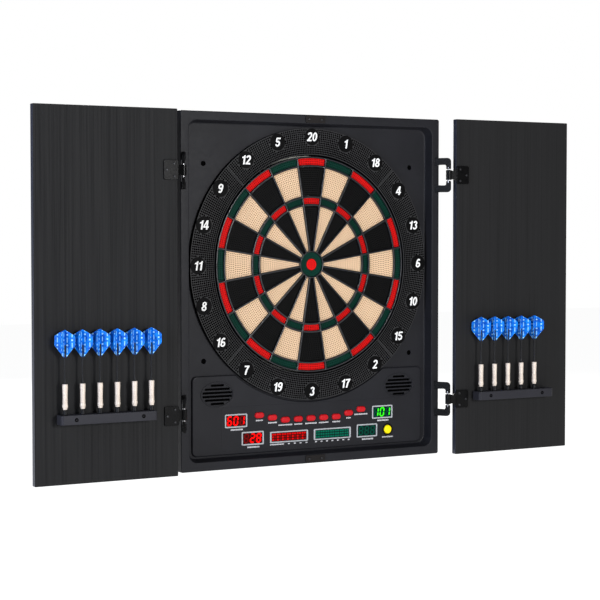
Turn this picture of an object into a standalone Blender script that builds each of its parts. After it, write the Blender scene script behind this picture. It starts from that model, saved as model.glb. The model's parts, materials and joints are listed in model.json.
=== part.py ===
"""Electronic dartboard in a wall cabinet with two hinged doors, dart racks and darts.

Metres, +Z up.  The origin is the centre of the cabinet's rear face, which hangs on a wall in the
XZ plane.  The board faces -Y.  The doors stand open, flat against the wall plane on either side.
A "depth" in this file is a distance behind the cabinet's front face; a negative one is in front.
"""

import bmesh
import bpy
from math import asin, atan2, cos, pi, radians, sin, sqrt
from mathutils import Matrix, Vector

# ---------------------------------------------------------------- driving dimensions
GAP = 0.0003                    # left between pieces that touch
WALL = 0.003                    # moulded wall thickness
PAST = 0.002                    # how far a cutter runs past the faces that it cuts

CABINET_WIDTH = 0.472
CABINET_HEIGHT = 0.550
CABINET_DEPTH = 0.050
RIM = 0.014                     # width of the cabinet's front rim
RECESS_DEPTH = 0.017            # from the rim back to the recess floor
RECESS_DRAFT = 0.003            # the recess walls lean in by this much
RECESS_CORNER = 0.014

BOARD_HEIGHT = 0.0396           # the target's centre above the cabinet's centre
NUMBER_RING_OUTER = 0.215
NUMBER_RING_INNER = 0.1735
NUMBER_RING_FRONT = 0.0105
SPIDER_OUTER = 0.1706
SPIDER_FRONT, SPIDER_BACK = 0.010, 0.022
WEB_WIDTH = 0.0026              # of the spider's radial bars
PAD_FRONT, CARRIER_FRONT, CARRIER_BACK = 0.0125, 0.0244, 0.026
PAD_CLEARANCE = 0.0004
SECTORS = 20
# ring name: (inner radius, outer radius, steps along each sector's arc)
SCORE_RINGS = {
    "double_segments": (0.1572, 0.1682, 3),
    "outer_single_segments": (0.1084, 0.1544, 3),
    "triple_segments": (0.0958, 0.1054, 2),
    "inner_single_segments": (0.0216, 0.0928, 2),
}
BULL_HOLE = 0.0196
INNER_BULL = 0.0090
# radius, front and back depths of what lies behind the pads
MEMBRANE = (0.1720, 0.0268, 0.0278)
BACK_PLATE = (0.1850, 0.0281, 0.0311)

CONSOLE_FRONT = 0.0135
CONSOLE_HALF_WIDTH = 0.2105
CONSOLE_BOTTOM, CONSOLE_TOP = -0.2545, -0.1304
CONSOLE_CORNER = 0.008
CONSOLE_CHAMFER = 0.002
RING_SURROUND = 0.2175          # the console is cut away to this radius round the number ring
SCORE_DISPLAY, SCORE_WINDOW = (0.0394, 0.0214), (0.0350, 0.0170)
MATRIX_DISPLAY, MATRIX_WINDOW = (0.0694, 0.0180), (0.0640, 0.0140)
DISPLAY_BACK, WINDOW_DEPTH = 0.0215, 0.0007
BUTTON = (0.0165, 0.0092)       # the stadium-shaped caps: length and height
BUTTON_PITCH = 0.0234
BUTTON_FRONT = 0.011
BUTTON_CLEARANCE = 0.0004
FLANGE = 0.00175                # of a button beyond its cap, behind the panel
START_BUTTON = 0.0156           # diameter
SPEAKER_CENTRE = (0.167, -0.1597)
GRILLE = (0.052, 0.0340)        # the ellipse that the speaker slots fill
GRILLE_SLOTS = 6
GRILLE_SLOT_HEIGHT = 0.0032
CIRCUIT_BOARD = (0.186, -0.2500, -0.1850)    # half width, bottom and top
CIRCUIT_BOARD_DEPTHS = (0.0222, 0.0238)

KEYHOLE = (0.150, 0.200)        # a keyhole's entry, from the middle of the rear cover
KEYHOLE_ENTRY, KEYHOLE_SLOT, KEYHOLE_RISE = 0.0055, 0.0028, 0.013
SOCKET_PLACE = (0.150, 0.036)   # x and depth of the power socket in the cabinet's bottom wall
SOCKET_SIDE, SOCKET_BORE, SOCKET_MOUTH = 0.012, 0.0064, 0.0090
MAGNET = (0.036, 0.0116)        # a catch plate's length and height
MAGNET_FRONT = -0.0013

HINGE_HEIGHT = 0.1838           # of each hinge above or below the cabinet's centre
PIVOT_X = 0.2412
PIVOT_DEPTH = -0.0204
HINGE_FOOT_X = 0.2294           # where a bracket's arms meet the rim
HINGE_SLOT = (0.0066, 0.0122)   # the slots in the rim that the arms' heels go into
ARM_RISE = 0.0225               # of an arm above or below its hinge's middle
ROD, ROD_LENGTH = 0.0045, 0.026
KNUCKLE, KNUCKLE_LENGTH = 0.0092, 0.0160
LEAF_REACH, LEAF_HEIGHT, LEAF_THICKNESS = 0.0235, 0.0294, 0.0020

DOOR_WIDTH, DOOR_THICKNESS = 0.2287, 0.010
DOOR_EDGE = 0.2532              # |x| of an open door's hinge edge
DOOR_FACE = -0.0252             # depth of an open door's inner face

RACK_LENGTH, RACK_DEPTH, RACK_HEIGHT = 0.152, 0.022, 0.014
RACK_TOP = -0.172
RACK_CENTRE = {"left": -0.3716, "right": 0.3633}      # x of the middle of its row of holes
RACK_SHIFT = -0.0015            # of the bar's own middle from that
RACK_HOLES = 6
DART_PITCH = 0.0274
DART_HOLE = 0.0064
DART_STAND_OFF = 0.0130         # of a dart's axis from the door's inner face
RACK_CORNER = 0.004
DARTS = {"left": range(6), "right": range(5)}

SIDES = {"left": -1, "right": 1}
LEVELS = {"upper": 1, "lower": -1}
ENDS = {"top": 1, "bottom": -1}

# ---------------------------------------------------------------- scene, collections, materials
for old in list(bpy.data.objects):
    bpy.data.objects.remove(old)


def new_collection(name):
    collection = bpy.data.collections.new(name)
    bpy.context.scene.collection.children.link(collection)
    return collection


PARTS = new_collection("electronic_dartboard")
CUTTERS = new_collection("cutters")


def material(name, colour, roughness=0.5, metallic=0.0):
    made = bpy.data.materials.new(name)
    made.use_nodes = True
    shader = made.node_tree.nodes["Principled BSDF"]
    shader.inputs["Base Color"].default_value = (*colour, 1)
    shader.inputs["Roughness"].default_value = roughness
    shader.inputs["Metallic"].default_value = metallic
    return made


CASE = material("case_plastic", (0.030, 0.031, 0.035), 0.45)
RING = material("number_ring_plastic", (0.018, 0.018, 0.019), 0.55)
WEB = material("web_plastic", (0.020, 0.022, 0.026), 0.35)
DOOR = material("black_wood", (0.024, 0.024, 0.025), 0.5)
RACK = material("rack_plastic", (0.050, 0.050, 0.055), 0.5)
HINGE = material("hinge_plastic", (0.012, 0.012, 0.013), 0.4)
RED = material("red_plastic", (0.70, 0.015, 0.015), 0.4)
GREEN = material("green_plastic", (0.010, 0.060, 0.045), 0.4)
CREAM = material("cream_plastic", (0.80, 0.59, 0.36), 0.45)
YELLOW = material("yellow_plastic", (0.85, 0.70, 0.0), 0.35)
FRAME = material("display_frame", (0.55, 0.55, 0.56), 0.4)
STEEL = material("magnet_steel", (0.10, 0.09, 0.085), 0.35, 1.0)
BOARD = material("circuit_board", (0.02, 0.12, 0.04), 0.5)
FOIL = material("membrane_film", (0.55, 0.55, 0.50), 0.4)
DART = material("dart_metal", (0.75, 0.68, 0.60), 0.35)


# ---------------------------------------------------------------- modelling helpers
def front_y(depth):
    """The world Y of a depth behind the cabinet's front face."""
    return depth - CABINET_DEPTH


def keep(obj, finish, parent=None):
    """Makes an object one of the parts."""
    PARTS.objects.link(obj)
    obj.data.materials.clear()
    obj.data.materials.append(finish)
    if parent:
        obj.parent = parent
        obj.matrix_parent_inverse = parent.matrix_world.inverted()
    return obj


def cutter(obj):
    """Makes an object a cutter, which is no part of the model."""
    CUTTERS.objects.link(obj)
    obj.hide_render = True
    obj.display_type = "WIRE"
    return obj


def combine(obj, other, operation):
    step = obj.modifiers.new(other.name, "BOOLEAN")
    step.object = other
    step.operation = operation
    step.solver = "EXACT"
    return obj


def cut(obj, other):
    return combine(obj, cutter(other), "DIFFERENCE")


def join(obj, other):
    return combine(obj, cutter(other), "UNION")


def bevel(obj, width, segments=1):
    step = obj.modifiers.new("edges", "BEVEL")
    step.width = width
    step.segments = segments
    step.limit_method = "ANGLE"
    step.angle_limit = radians(50)
    return obj


def mesh_object(name, mesh_builder, location=(0, 0, 0), turn=None):
    mesh = bpy.data.meshes.new(name)
    shape = bmesh.new()
    mesh_builder(shape)
    if turn is not None:
        bmesh.ops.transform(shape, matrix=turn, verts=shape.verts)
    shape.to_mesh(mesh)
    shape.free()
    obj = bpy.data.objects.new(name, mesh)
    obj.location = location
    return obj


def box(name, low, high, location=(0, 0, 0), turn=None):
    """A box between two corners, given from its own origin."""
    low, high = Vector(low), Vector(high)
    middle = Matrix.Translation((low + high) / 2) @ Matrix.Diagonal((*(high - low), 1))
    return mesh_object(name, lambda shape: bmesh.ops.create_cube(shape, size=1, matrix=middle),
                       location, turn)


def round_bar(name, radius, length, axis="Z", location=(0, 0, 0), sides=16):
    """A cylinder centred on its own origin, with a flat side facing along X."""
    turn = {"Z": Matrix(), "Y": Matrix.Rotation(pi / 2, 4, "X")}[axis]
    return mesh_object(name, lambda shape: bmesh.ops.create_cone(
        shape, cap_ends=True, segments=sides, radius1=radius, radius2=radius, depth=length),
        location, turn)


def as_mesh(obj):
    """The mesh object of a curve object, with its caps welded on."""
    PARTS.objects.link(obj)
    bpy.context.view_layer.update()
    evaluated = obj.evaluated_get(bpy.context.evaluated_depsgraph_get())
    mesh = bpy.data.meshes.new_from_object(evaluated)
    place = obj.matrix_world.copy()
    name = obj.name
    bpy.data.objects.remove(obj)
    shape = bmesh.new()
    shape.from_mesh(mesh)
    bmesh.ops.remove_doubles(shape, verts=shape.verts, dist=0.000001)
    bmesh.ops.recalc_face_normals(shape, faces=shape.faces)
    shape.to_mesh(mesh)
    shape.free()
    made = bpy.data.objects.new(name, mesh)
    made.matrix_world = place
    return made


def plate(name, outlines, front, back, location=(0, 0, 0)):
    """Flat outlines in the XZ plane, filled and made solid between two depths."""
    curve = bpy.data.curves.new(name, "CURVE")
    curve.dimensions = "2D"
    curve.fill_mode = "BOTH"
    curve.extrude = (back - front) / 2
    for outline in outlines:
        spline = curve.splines.new("POLY")
        spline.points.add(len(outline) - 1)
        for point, (x, z) in zip(spline.points, outline):
            point.co = (x, z, 0, 1)
        spline.use_cyclic_u = True
    obj = bpy.data.objects.new(name, curve)
    obj.rotation_euler = (pi / 2, 0, 0)
    obj.location = Vector(location) + Vector((0, front_y((front + back) / 2), 0))
    return as_mesh(obj)


def turned(name, profile, sides):
    """A solid turned about Z from (radius, height) points, listed from its top down."""
    mesh = bpy.data.meshes.new(name)
    edges = [(i, i + 1) for i in range(len(profile) - 1)]
    mesh.from_pydata([(radius, 0, height) for radius, height in profile], edges, [])
    obj = bpy.data.objects.new(name, mesh)
    screw = obj.modifiers.new("turn", "SCREW")
    screw.steps = screw.render_steps = sides
    screw.use_merge_vertices = True
    screw.merge_threshold = 0.00001
    return obj


# ---------------------------------------------------------------- outlines
def arc(centre, radius, start, end, steps):
    """Points along an arc, in degrees anticlockwise from +X, both ends included."""
    return [(centre[0] + radius * cos(radians(start + (end - start) * i / steps)),
             centre[1] + radius * sin(radians(start + (end - start) * i / steps)))
            for i in range(steps + 1)]


def circle(centre, radius, sides):
    return arc(centre, radius, 0, 360, sides)[:-1]


def rectangle(centre, size, corner=0.0, steps=3):
    """A rectangle, with round corners where a corner radius is given."""
    x, z = centre
    dx, dz = size[0] / 2 - corner, size[1] / 2 - corner
    corners = ((x + dx, z + dz), (x - dx, z + dz), (x - dx, z - dz), (x + dx, z - dz))
    if not corner:
        return list(corners)
    return [point for turn, middle in enumerate(corners)
            for point in arc(middle, corner, 90 * turn, 90 * turn + 90, steps)]


def stadium(centre, size, steps=5):
    """A bar with half-round ends."""
    x, z = centre
    radius, reach = size[1] / 2, (size[0] - size[1]) / 2
    return arc((x + reach, z), radius, -90, 90, steps) + arc((x - reach, z), radius, 90, 270, steps)


def polar(radius, clockwise_from_top):
    """The (x, z) of a point on the target, from its centre."""
    return radius * sin(clockwise_from_top), BOARD_HEIGHT + radius * cos(clockwise_from_top)


def pad_outline(sector, inner, outer, side_clearance, steps):
    """One scoring segment's outline: its sides run parallel to the spider's radial bars."""
    step = 2 * pi / SECTORS
    middle = sector * step
    half_bar = WEB_WIDTH / 2 + side_clearance

    def row(radius):
        half = step / 2 - asin(half_bar / radius)
        return [polar(radius, middle - half + 2 * half * i / steps) for i in range(steps + 1)]

    return row(outer) + row(inner)[::-1]


# ---------------------------------------------------------------- cabinet
def tapered_block(name, grow, front, back):
    """The recess's shape, grown outwards by some wall; its sides lean in towards the back."""
    half_width = CABINET_WIDTH / 2 - RIM + grow
    half_height = CABINET_HEIGHT / 2 - RIM + grow
    outline = rectangle((0, 0), (2 * half_width, 2 * half_height), RECESS_CORNER + grow, 4)
    block = plate(name, [outline], front, back)
    for vertex in block.data.vertices:
        depth = (block.matrix_world @ vertex.co).y - front_y(0)
        lean = RECESS_DRAFT * depth / RECESS_DEPTH
        vertex.co.x *= 1 - lean / half_width
        vertex.co.y *= 1 - lean / half_height
    return block


def console_outline(inset=0.0):
    """The console: a round-cornered panel with a bite taken out by the number ring."""
    half, corner = CONSOLE_HALF_WIDTH - inset, CONSOLE_CORNER - inset / 2
    bottom, top = CONSOLE_BOTTOM + inset, CONSOLE_TOP - inset
    bite = RING_SURROUND + inset
    drop = BOARD_HEIGHT - top
    half_angle = atan2(sqrt(bite ** 2 - drop ** 2), drop) * 180 / pi
    left, right = -half + corner, half - corner
    return (arc((right, bottom + corner), corner, -90, 0, 3)
            + arc((right, top - corner), corner, 0, 90, 3)
            + arc((0, BOARD_HEIGHT), bite, -90 + half_angle, -90 - half_angle, 16)
            + arc((left, top - corner), corner, 90, 180, 3)
            + arc((left, bottom + corner), corner, 180, 270, 3))


SCORE_DISPLAYS = {
    "score_display_player_1": (-0.1347, -0.2020),
    "score_display_player_2": (-0.1053, -0.2308),
    "score_display_player_3": (0.1053, -0.2308),
    "score_display_player_4": (0.1347, -0.2020),
}
MATRIX_DISPLAYS = {"mark_display_left": (-0.0399, -0.2318), "mark_display_right": (0.0399, -0.2318)}


def button_places():
    """The nine oval buttons lie in a shallow smile under the number ring."""
    drops = {0: -0.2050, 1: -0.2050, 2: -0.2050, 3: -0.2003, 4: -0.1955}
    return [(BUTTON_PITCH * i, drops[abs(i)]) for i in range(-4, 5)]


BUTTON_NAMES = ("power_button", "game_button", "option_button", "double_in_out_button",
                "handicap_button", "cyber_match_button", "bounce_out_button",
                "sound_button", "next_player_button")
START_PLACE = (0.1448, -0.2311)


def grille_slots(side):
    """Level slots, each as long as the ellipse is wide there."""
    x, z = side * SPEAKER_CENTRE[0], SPEAKER_CENTRE[1]
    pitch = GRILLE[1] / GRILLE_SLOTS
    slots = []
    for i in range(GRILLE_SLOTS):
        rise = (i - (GRILLE_SLOTS - 1) / 2) * pitch
        reach = GRILLE[0] / 2 * sqrt(1 - (2 * rise / GRILLE[1]) ** 2)
        slots.append(rectangle((x, z + rise), (2 * reach, GRILLE_SLOT_HEIGHT)))
    return slots


SCREW_HOLES = [(x, z) for x in (-0.189, 0.189) for z in (0.196, -0.1075)]
SCREW_HOLE = 0.0060             # diameter


def front_housing():
    half_width, half_height = CABINET_WIDTH / 2, CABINET_HEIGHT / 2
    housing = box("front_housing", (-half_width, front_y(0), -half_height),
                  (half_width, front_y(CABINET_DEPTH), half_height))
    bevel(housing, 0.0015)
    floor_back = RECESS_DEPTH + WALL
    hollow = box("hollow", (-half_width + WALL, front_y(WALL), -half_height + WALL),
                 (half_width - WALL, front_y(CABINET_DEPTH + PAST), half_height - WALL))
    cut(hollow, tapered_block("tray", WALL, -PAST, floor_back))
    cut(housing, hollow)
    cut(housing, tapered_block("recess", 0.0, -PAST, RECESS_DEPTH))
    console = plate("console", [console_outline()], CONSOLE_FRONT, floor_back - GAP)
    join(housing, bevel(console, CONSOLE_CHAMFER))
    cut(housing, plate("console_pocket", [console_outline(WALL)],
                       CONSOLE_FRONT + WALL, floor_back + PAST))
    openings = [rectangle(place, [side + 2 * GAP for side in SCORE_DISPLAY])
                for place in SCORE_DISPLAYS.values()]
    openings += [rectangle(place, [side + 2 * GAP for side in MATRIX_DISPLAY])
                 for place in MATRIX_DISPLAYS.values()]
    openings += [stadium(place, [side + 2 * BUTTON_CLEARANCE for side in BUTTON])
                 for place in button_places()]
    openings.append(circle(START_PLACE, START_BUTTON / 2 + BUTTON_CLEARANCE, 16))
    openings += grille_slots(-1) + grille_slots(1)
    cut(housing, plate("console_openings", openings, CONSOLE_FRONT - PAST, CONSOLE_FRONT + WALL + PAST))
    floor_openings = [circle((0, BOARD_HEIGHT), NUMBER_RING_INNER + 0.0015, 60)]
    floor_openings += [circle(place, SCREW_HOLE / 2, 12) for place in SCREW_HOLES]
    cut(housing, plate("floor_openings", floor_openings, RECESS_DEPTH - PAST, floor_back + PAST))
    slots = [rectangle((side * HINGE_FOOT_X, level * HINGE_HEIGHT + rise), HINGE_SLOT)
             for side in SIDES.values() for level in LEVELS.values() for rise in (-ARM_RISE, ARM_RISE)]
    cut(housing, plate("hinge_slots", slots, -PAST, WALL + PAST))
    cut(housing, round_bar("socket_hole", SOCKET_MOUTH / 2, WALL + 2 * PAST, "Z",
                           (SOCKET_PLACE[0], front_y(SOCKET_PLACE[1]), -half_height + WALL / 2)))
    return keep(housing, CASE)


def rear_cover():
    """The cabinet's back, with two keyhole slots that hang it on wall screws."""
    width = CABINET_WIDTH - 2 * (WALL + GAP)
    height = CABINET_HEIGHT - 2 * (WALL + GAP)
    start = asin(KEYHOLE_SLOT / KEYHOLE_ENTRY) * 180 / pi
    keyholes = []
    for side in SIDES.values():
        x, z = side * KEYHOLE[0], KEYHOLE[1]
        keyholes.append(arc((x, z), KEYHOLE_ENTRY, 90 + start, 450 - start, 12)
                        + arc((x, z + KEYHOLE_RISE), KEYHOLE_SLOT, 0, 180, 6))
    cover = plate("rear_cover", [rectangle((0, 0), (width, height))] + keyholes,
                  CABINET_DEPTH - WALL, CABINET_DEPTH)
    return keep(cover, CASE)


def number_ring():
    """Four quarter rings, parted midway between the top, side and bottom numbers."""
    quarters = {"top": 90, "left": 180, "bottom": 270, "right": 0}
    seam = 0.06
    half = 45 - seam
    for name, middle in quarters.items():
        outline = (arc((0, BOARD_HEIGHT), NUMBER_RING_OUTER, middle - half, middle + half, 15)
                   + arc((0, BOARD_HEIGHT), NUMBER_RING_INNER, middle + half, middle - half, 15))
        quarter = plate(f"number_ring_{name}", [outline], NUMBER_RING_FRONT, RECESS_DEPTH - GAP)
        keep(quarter, RING)


def door_magnets():
    """The catch plates at the middle of the rim's top and bottom."""
    half_length, half_height = MAGNET[0] / 2, MAGNET[1] / 2
    for end, way in ENDS.items():
        middle = way * (CABINET_HEIGHT / 2 - RIM / 2)
        keep(box(f"door_magnet_{end}", (-half_length, front_y(MAGNET_FRONT), middle - half_height),
                 (half_length, front_y(-GAP), middle + half_height)), STEEL)


# ---------------------------------------------------------------- target
def spider():
    """The web of bars that holds the scoring segments apart."""
    outlines = [circle((0, BOARD_HEIGHT), SPIDER_OUTER, 60)]
    outlines += [pad_outline(sector, inner, outer, 0.0, steps)
                 for inner, outer, steps in SCORE_RINGS.values() for sector in range(SECTORS)]
    outlines.append(circle((0, BOARD_HEIGHT), BULL_HOLE, 24))
    return keep(plate("spider", outlines, SPIDER_FRONT, SPIDER_BACK), WEB)


def segment_ring(name, inner, outer, steps):
    """Twenty pads on the thin carrier behind them, pushed out of the carrier's front faces."""
    low, high = inner + PAD_CLEARANCE, outer - PAD_CLEARANCE

    def build(shape):
        columns = []
        for sector in range(SECTORS):
            points = pad_outline(sector, low, high, PAD_CLEARANCE, steps)
            outer_row, inner_row = points[:steps + 1], points[steps + 1:][::-1]
            columns += zip(outer_row, inner_row)
        verts = [[shape.verts.new((x, 0, z)) for x, z in column] for column in columns]
        pads = []
        for i, (out, inn) in enumerate(verts):
            next_out, next_inn = verts[(i + 1) % len(verts)]
            face = shape.faces.new((out, inn, next_inn, next_out))
            if (i + 1) % (steps + 1):
                pads.append(face)
        thick = CARRIER_BACK - CARRIER_FRONT
        back = bmesh.ops.extrude_face_region(shape, geom=shape.faces[:])
        moved = [item for item in back["geom"] if isinstance(item, bmesh.types.BMVert)]
        bmesh.ops.translate(shape, vec=(0, thick, 0), verts=moved)
        raised = bmesh.ops.extrude_face_region(shape, geom=pads)
        moved = [item for item in raised["geom"] if isinstance(item, bmesh.types.BMVert)]
        bmesh.ops.translate(shape, vec=(0, PAD_FRONT - CARRIER_FRONT, 0), verts=moved)
        bmesh.ops.delete(shape, geom=pads, context="FACES_ONLY")
        bmesh.ops.recalc_face_normals(shape, faces=shape.faces)

    ring = mesh_object(name, build, (0, front_y(CARRIER_FRONT), 0))
    return keep(ring, CREAM if "single" in name else RED)


def bulls():
    """The bullseye's green collar and its red button."""
    centre = (0, BOARD_HEIGHT)
    collar = [circle(centre, BULL_HOLE - PAD_CLEARANCE, 24),
              circle(centre, INNER_BULL + PAD_CLEARANCE, 24)]
    keep(plate("outer_bull", collar, PAD_FRONT - 0.0005, CARRIER_BACK), GREEN)
    keep(plate("inner_bull", [circle(centre, INNER_BULL, 24)], PAD_FRONT - 0.001, CARRIER_BACK), RED)


def behind_the_target():
    """The switch membrane and the plate that backs it."""
    for name, (radius, front, back), finish in (("sensor_membrane", MEMBRANE, FOIL),
                                                ("target_back_plate", BACK_PLATE, CASE)):
        keep(plate(name, [circle((0, BOARD_HEIGHT), radius, 40)], front, back), finish)


# ---------------------------------------------------------------- console
def display(name, place, size, window):
    """A framed display block with its window set back."""
    block = plate(name, [rectangle(place, size, 0.0008, 1)], CONSOLE_FRONT - 0.0005, DISPLAY_BACK)
    cut(block, plate(name + "_window", [rectangle(place, window)],
                     CONSOLE_FRONT - PAST, CONSOLE_FRONT + WINDOW_DEPTH))
    return keep(block, FRAME)


def displays():
    for name, place in SCORE_DISPLAYS.items():
        display(name, place, SCORE_DISPLAY, SCORE_WINDOW)
    for name, place in MATRIX_DISPLAYS.items():
        display(name, place, MATRIX_DISPLAY, MATRIX_WINDOW)


def button(name, place, outline, flange, finish):
    """A cap that stands out of the console, with a flange behind the panel."""
    flange_front = CONSOLE_FRONT + WALL + GAP
    cap = plate(name, [outline((0, 0))], BUTTON_FRONT, flange_front + 0.0008, (place[0], 0, place[1]))
    bevel(cap, 0.0007)
    join(cap, plate(name + "_flange", [flange((0, 0))], flange_front, flange_front + 0.0013,
                    (place[0], 0, place[1])))
    return keep(cap, finish)


def buttons():
    for name, place in zip(BUTTON_NAMES, button_places()):
        button(name, place, lambda centre: stadium(centre, BUTTON),
               lambda centre: rectangle(centre, [side + 2 * FLANGE for side in BUTTON]), RED)
    button("start_button", START_PLACE, lambda centre: circle(centre, START_BUTTON / 2, 16),
           lambda centre: circle(centre, START_BUTTON / 2 + FLANGE, 16), YELLOW)


def speakers():
    """A cone driver behind each grille."""
    profile = ((0.0, 0.0010), (0.0085, 0.0010), (0.0175, 0.0070), (0.0210, 0.0070), (0.0210, 0.0),
               (0.0140, -0.0080), (0.0140, -0.0160), (0.0, -0.0160))
    for name, side in SIDES.items():
        driver = turned(f"speaker_{name}", profile, 16)
        driver.rotation_euler = (pi / 2, 0, 0)
        driver.location = (side * SPEAKER_CENTRE[0], front_y(0.0275), SPEAKER_CENTRE[1])
        keep(driver, RACK)


def circuit_board():
    """The main board behind the displays and buttons, with its processor and its connector."""
    half_width, bottom, top = CIRCUIT_BOARD
    front, back = (front_y(depth) for depth in CIRCUIT_BOARD_DEPTHS)
    board = box("main_circuit_board", (-half_width, front, bottom), (half_width, back, top))
    middle = (front + back) / 2
    join(board, box("processor", (-0.010, middle, -0.226), (0.010, back + 0.0024, -0.206)))
    join(board, box("ribbon_connector", (0.040, middle, -0.200), (0.092, back + 0.0062, -0.190)))
    return keep(board, BOARD)


def power_socket():
    """The adaptor's inlet, in the bottom wall and facing down."""
    x, depth = SOCKET_PLACE
    bottom, half = -CABINET_HEIGHT / 2 + WALL + GAP, SOCKET_SIDE / 2
    socket = box("power_socket", (x - half, front_y(depth - half), bottom),
                 (x + half, front_y(depth + half), bottom + SOCKET_SIDE))
    cut(socket, round_bar("socket_bore", SOCKET_BORE / 2, 1.5 * SOCKET_SIDE, "Z",
                          (x, front_y(depth), bottom)))
    return keep(socket, HINGE)


# ---------------------------------------------------------------- hinges and doors
def pivot_of(side):
    return Vector((side * PIVOT_X, front_y(PIVOT_DEPTH), 0))


def hinge_bracket(name, side, level):
    """A flat C of plate that leans out from the rim and carries the hinge rod across its mouth."""
    foot = Vector((side * HINGE_FOOT_X, front_y(0), 0))
    lean = pivot_of(side) - foot
    reach = lean.length
    heel, outer, chamfer = -0.0016, reach + 0.0048, 0.005
    outside, inside, mouth, web = 0.028, 0.0168, 0.0100, reach - 0.0048
    outline = [(heel, outside), (outer - chamfer, outside), (outer, outside - chamfer),
               (outer, mouth), (web, mouth), (web, inside), (heel, inside)]
    half = plate(name, [outline], -0.0020, 0.0020)
    other = plate(name + "_half", [[(s, -z) for s, z in reversed(outline)]], -0.0020, 0.0020)
    turn = (Matrix.Translation(foot + Vector((0, 0, level * HINGE_HEIGHT)))
            @ Matrix.Rotation(atan2(lean.y, lean.x), 4, "Z"))
    for piece in (half, other):
        piece.matrix_world = turn @ Matrix.Rotation(pi / 2, 4, "X")
    rod = round_bar(name + "_rod", ROD / 2, ROD_LENGTH, "Z",
                    pivot_of(side) + Vector((0, 0, level * HINGE_HEIGHT)), 12)
    join(half, rod)
    join(half, other)
    return keep(half, HINGE)


def hinge_leaf(name, side, level, pivot):
    """The leaf screwed to the door: a plate, a neck and the knuckle that turns on the rod."""
    knuckle = round_bar(name, KNUCKLE / 2, KNUCKLE_LENGTH, "Z",
                        pivot.location + Vector((0, 0, level * HINGE_HEIGHT)), 12)
    back = DOOR_FACE - PIVOT_DEPTH - GAP
    front = back - LEAF_THICKNESS
    near, far = sorted((side * (DOOR_EDGE - PIVOT_X - 0.0005), side * (DOOR_EDGE - PIVOT_X + LEAF_REACH)))
    flat = box(name + "_plate", (near, front, -LEAF_HEIGHT / 2), (far, back, LEAF_HEIGHT / 2),
               knuckle.location)
    start = Vector((side * 0.0034, -0.0012, 0))
    end = Vector((side * (DOOR_EDGE - PIVOT_X + 0.001), (front + back) / 2, 0))
    run = end - start
    neck = box(name + "_neck", (0, -LEAF_THICKNESS / 2, -KNUCKLE_LENGTH / 2),
               (run.length, LEAF_THICKNESS / 2, KNUCKLE_LENGTH / 2), knuckle.location + start,
               Matrix.Rotation(atan2(run.y, run.x), 4, "Z"))
    join(knuckle, neck)
    join(knuckle, flat)
    cut(knuckle, round_bar(name + "_bore", ROD / 2 + GAP, KNUCKLE_LENGTH + 2 * PAST, "Z",
                           knuckle.location, 12))
    return keep(knuckle, HINGE, pivot)


def door(side_name, side, pivot):
    near, far = DOOR_EDGE, DOOR_EDGE + DOOR_WIDTH
    low = Vector((min(side * near, side * far), front_y(DOOR_FACE), -CABINET_HEIGHT / 2))
    high = Vector((max(side * near, side * far), front_y(DOOR_FACE + DOOR_THICKNESS),
                   CABINET_HEIGHT / 2))
    panel = box(f"{side_name}_door", low - pivot.location, high - pivot.location, pivot.location)
    return keep(bevel(panel, 0.0008), DOOR, pivot)


def dart_places(side_name):
    middle = RACK_CENTRE[side_name]
    return [middle + (i - (RACK_HOLES - 1) / 2) * DART_PITCH for i in range(RACK_HOLES)]


def dart_rack(side_name, pivot):
    """A bar across the door with six upright holes for the darts' tips."""
    middle = RACK_CENTRE[side_name]
    back = DOOR_FACE - GAP
    outline = rectangle((0, 0), (RACK_LENGTH, RACK_DEPTH - GAP), RACK_CORNER, 3)
    bar = plate(f"{side_name}_dart_rack", [outline], -RACK_HEIGHT / 2, RACK_HEIGHT / 2)
    bar.rotation_euler = (0, 0, 0)
    bar.location = (middle + RACK_SHIFT, front_y(back - (RACK_DEPTH - GAP) / 2),
                    RACK_TOP - RACK_HEIGHT / 2)
    axis_y = front_y(DOOR_FACE - DART_STAND_OFF)
    holes = plate(f"{side_name}_rack_holes", [circle((x - middle, 0), DART_HOLE / 2, 12)
                                              for x in dart_places(side_name)],
                  -RACK_HEIGHT / 2 - PAST, RACK_HEIGHT / 2 + PAST)
    holes.rotation_euler = (0, 0, 0)
    holes.location = (middle, axis_y, RACK_TOP - RACK_HEIGHT / 2)
    cut(bar, holes)
    return keep(bar, RACK, pivot)


def dart(name, x, pivot):
    """Tip, barrel and shaft turned in one, with a cross of four flight wings."""
    tip_end, collar, barrel_low, barrel_top, shaft_top = -0.0135, GAP, 0.0080, 0.0445, 0.0960
    flight_low, flight_top, wing = 0.0815, 0.1230, 0.0162
    profile = [(0.0, shaft_top), (0.0014, shaft_top), (0.0016, barrel_top + 0.0010),
               (0.0036, barrel_top), (0.0040, barrel_low), (0.0024, barrel_low - 0.0005),
               (0.0036, collar + 0.0012), (0.0036, collar), (0.0014, collar), (0.0009, tip_end),
               (0.0, tip_end)]
    made = turned(name, profile, 8)
    made.location = (x, front_y(DOOR_FACE - DART_STAND_OFF), RACK_TOP)
    outline = [(wing * 0.16, flight_low), (wing * 0.80, flight_low + 0.0190),
               (wing, flight_low + 0.0290), (wing * 0.86, flight_top), (wing * 0.25, flight_top)]
    outline += [(-x_, z_) for x_, z_ in reversed(outline)]
    for turn in (45, -45):
        vane = plate(f"{name}_vane_{turn}", [outline], -0.0003, 0.0003)
        vane.matrix_world = (Matrix.Translation(made.location) @ Matrix.Rotation(radians(turn), 4, "Z")
                             @ Matrix.Rotation(pi / 2, 4, "X"))
        join(made, vane)
    return keep(made, DART, pivot)


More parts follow.
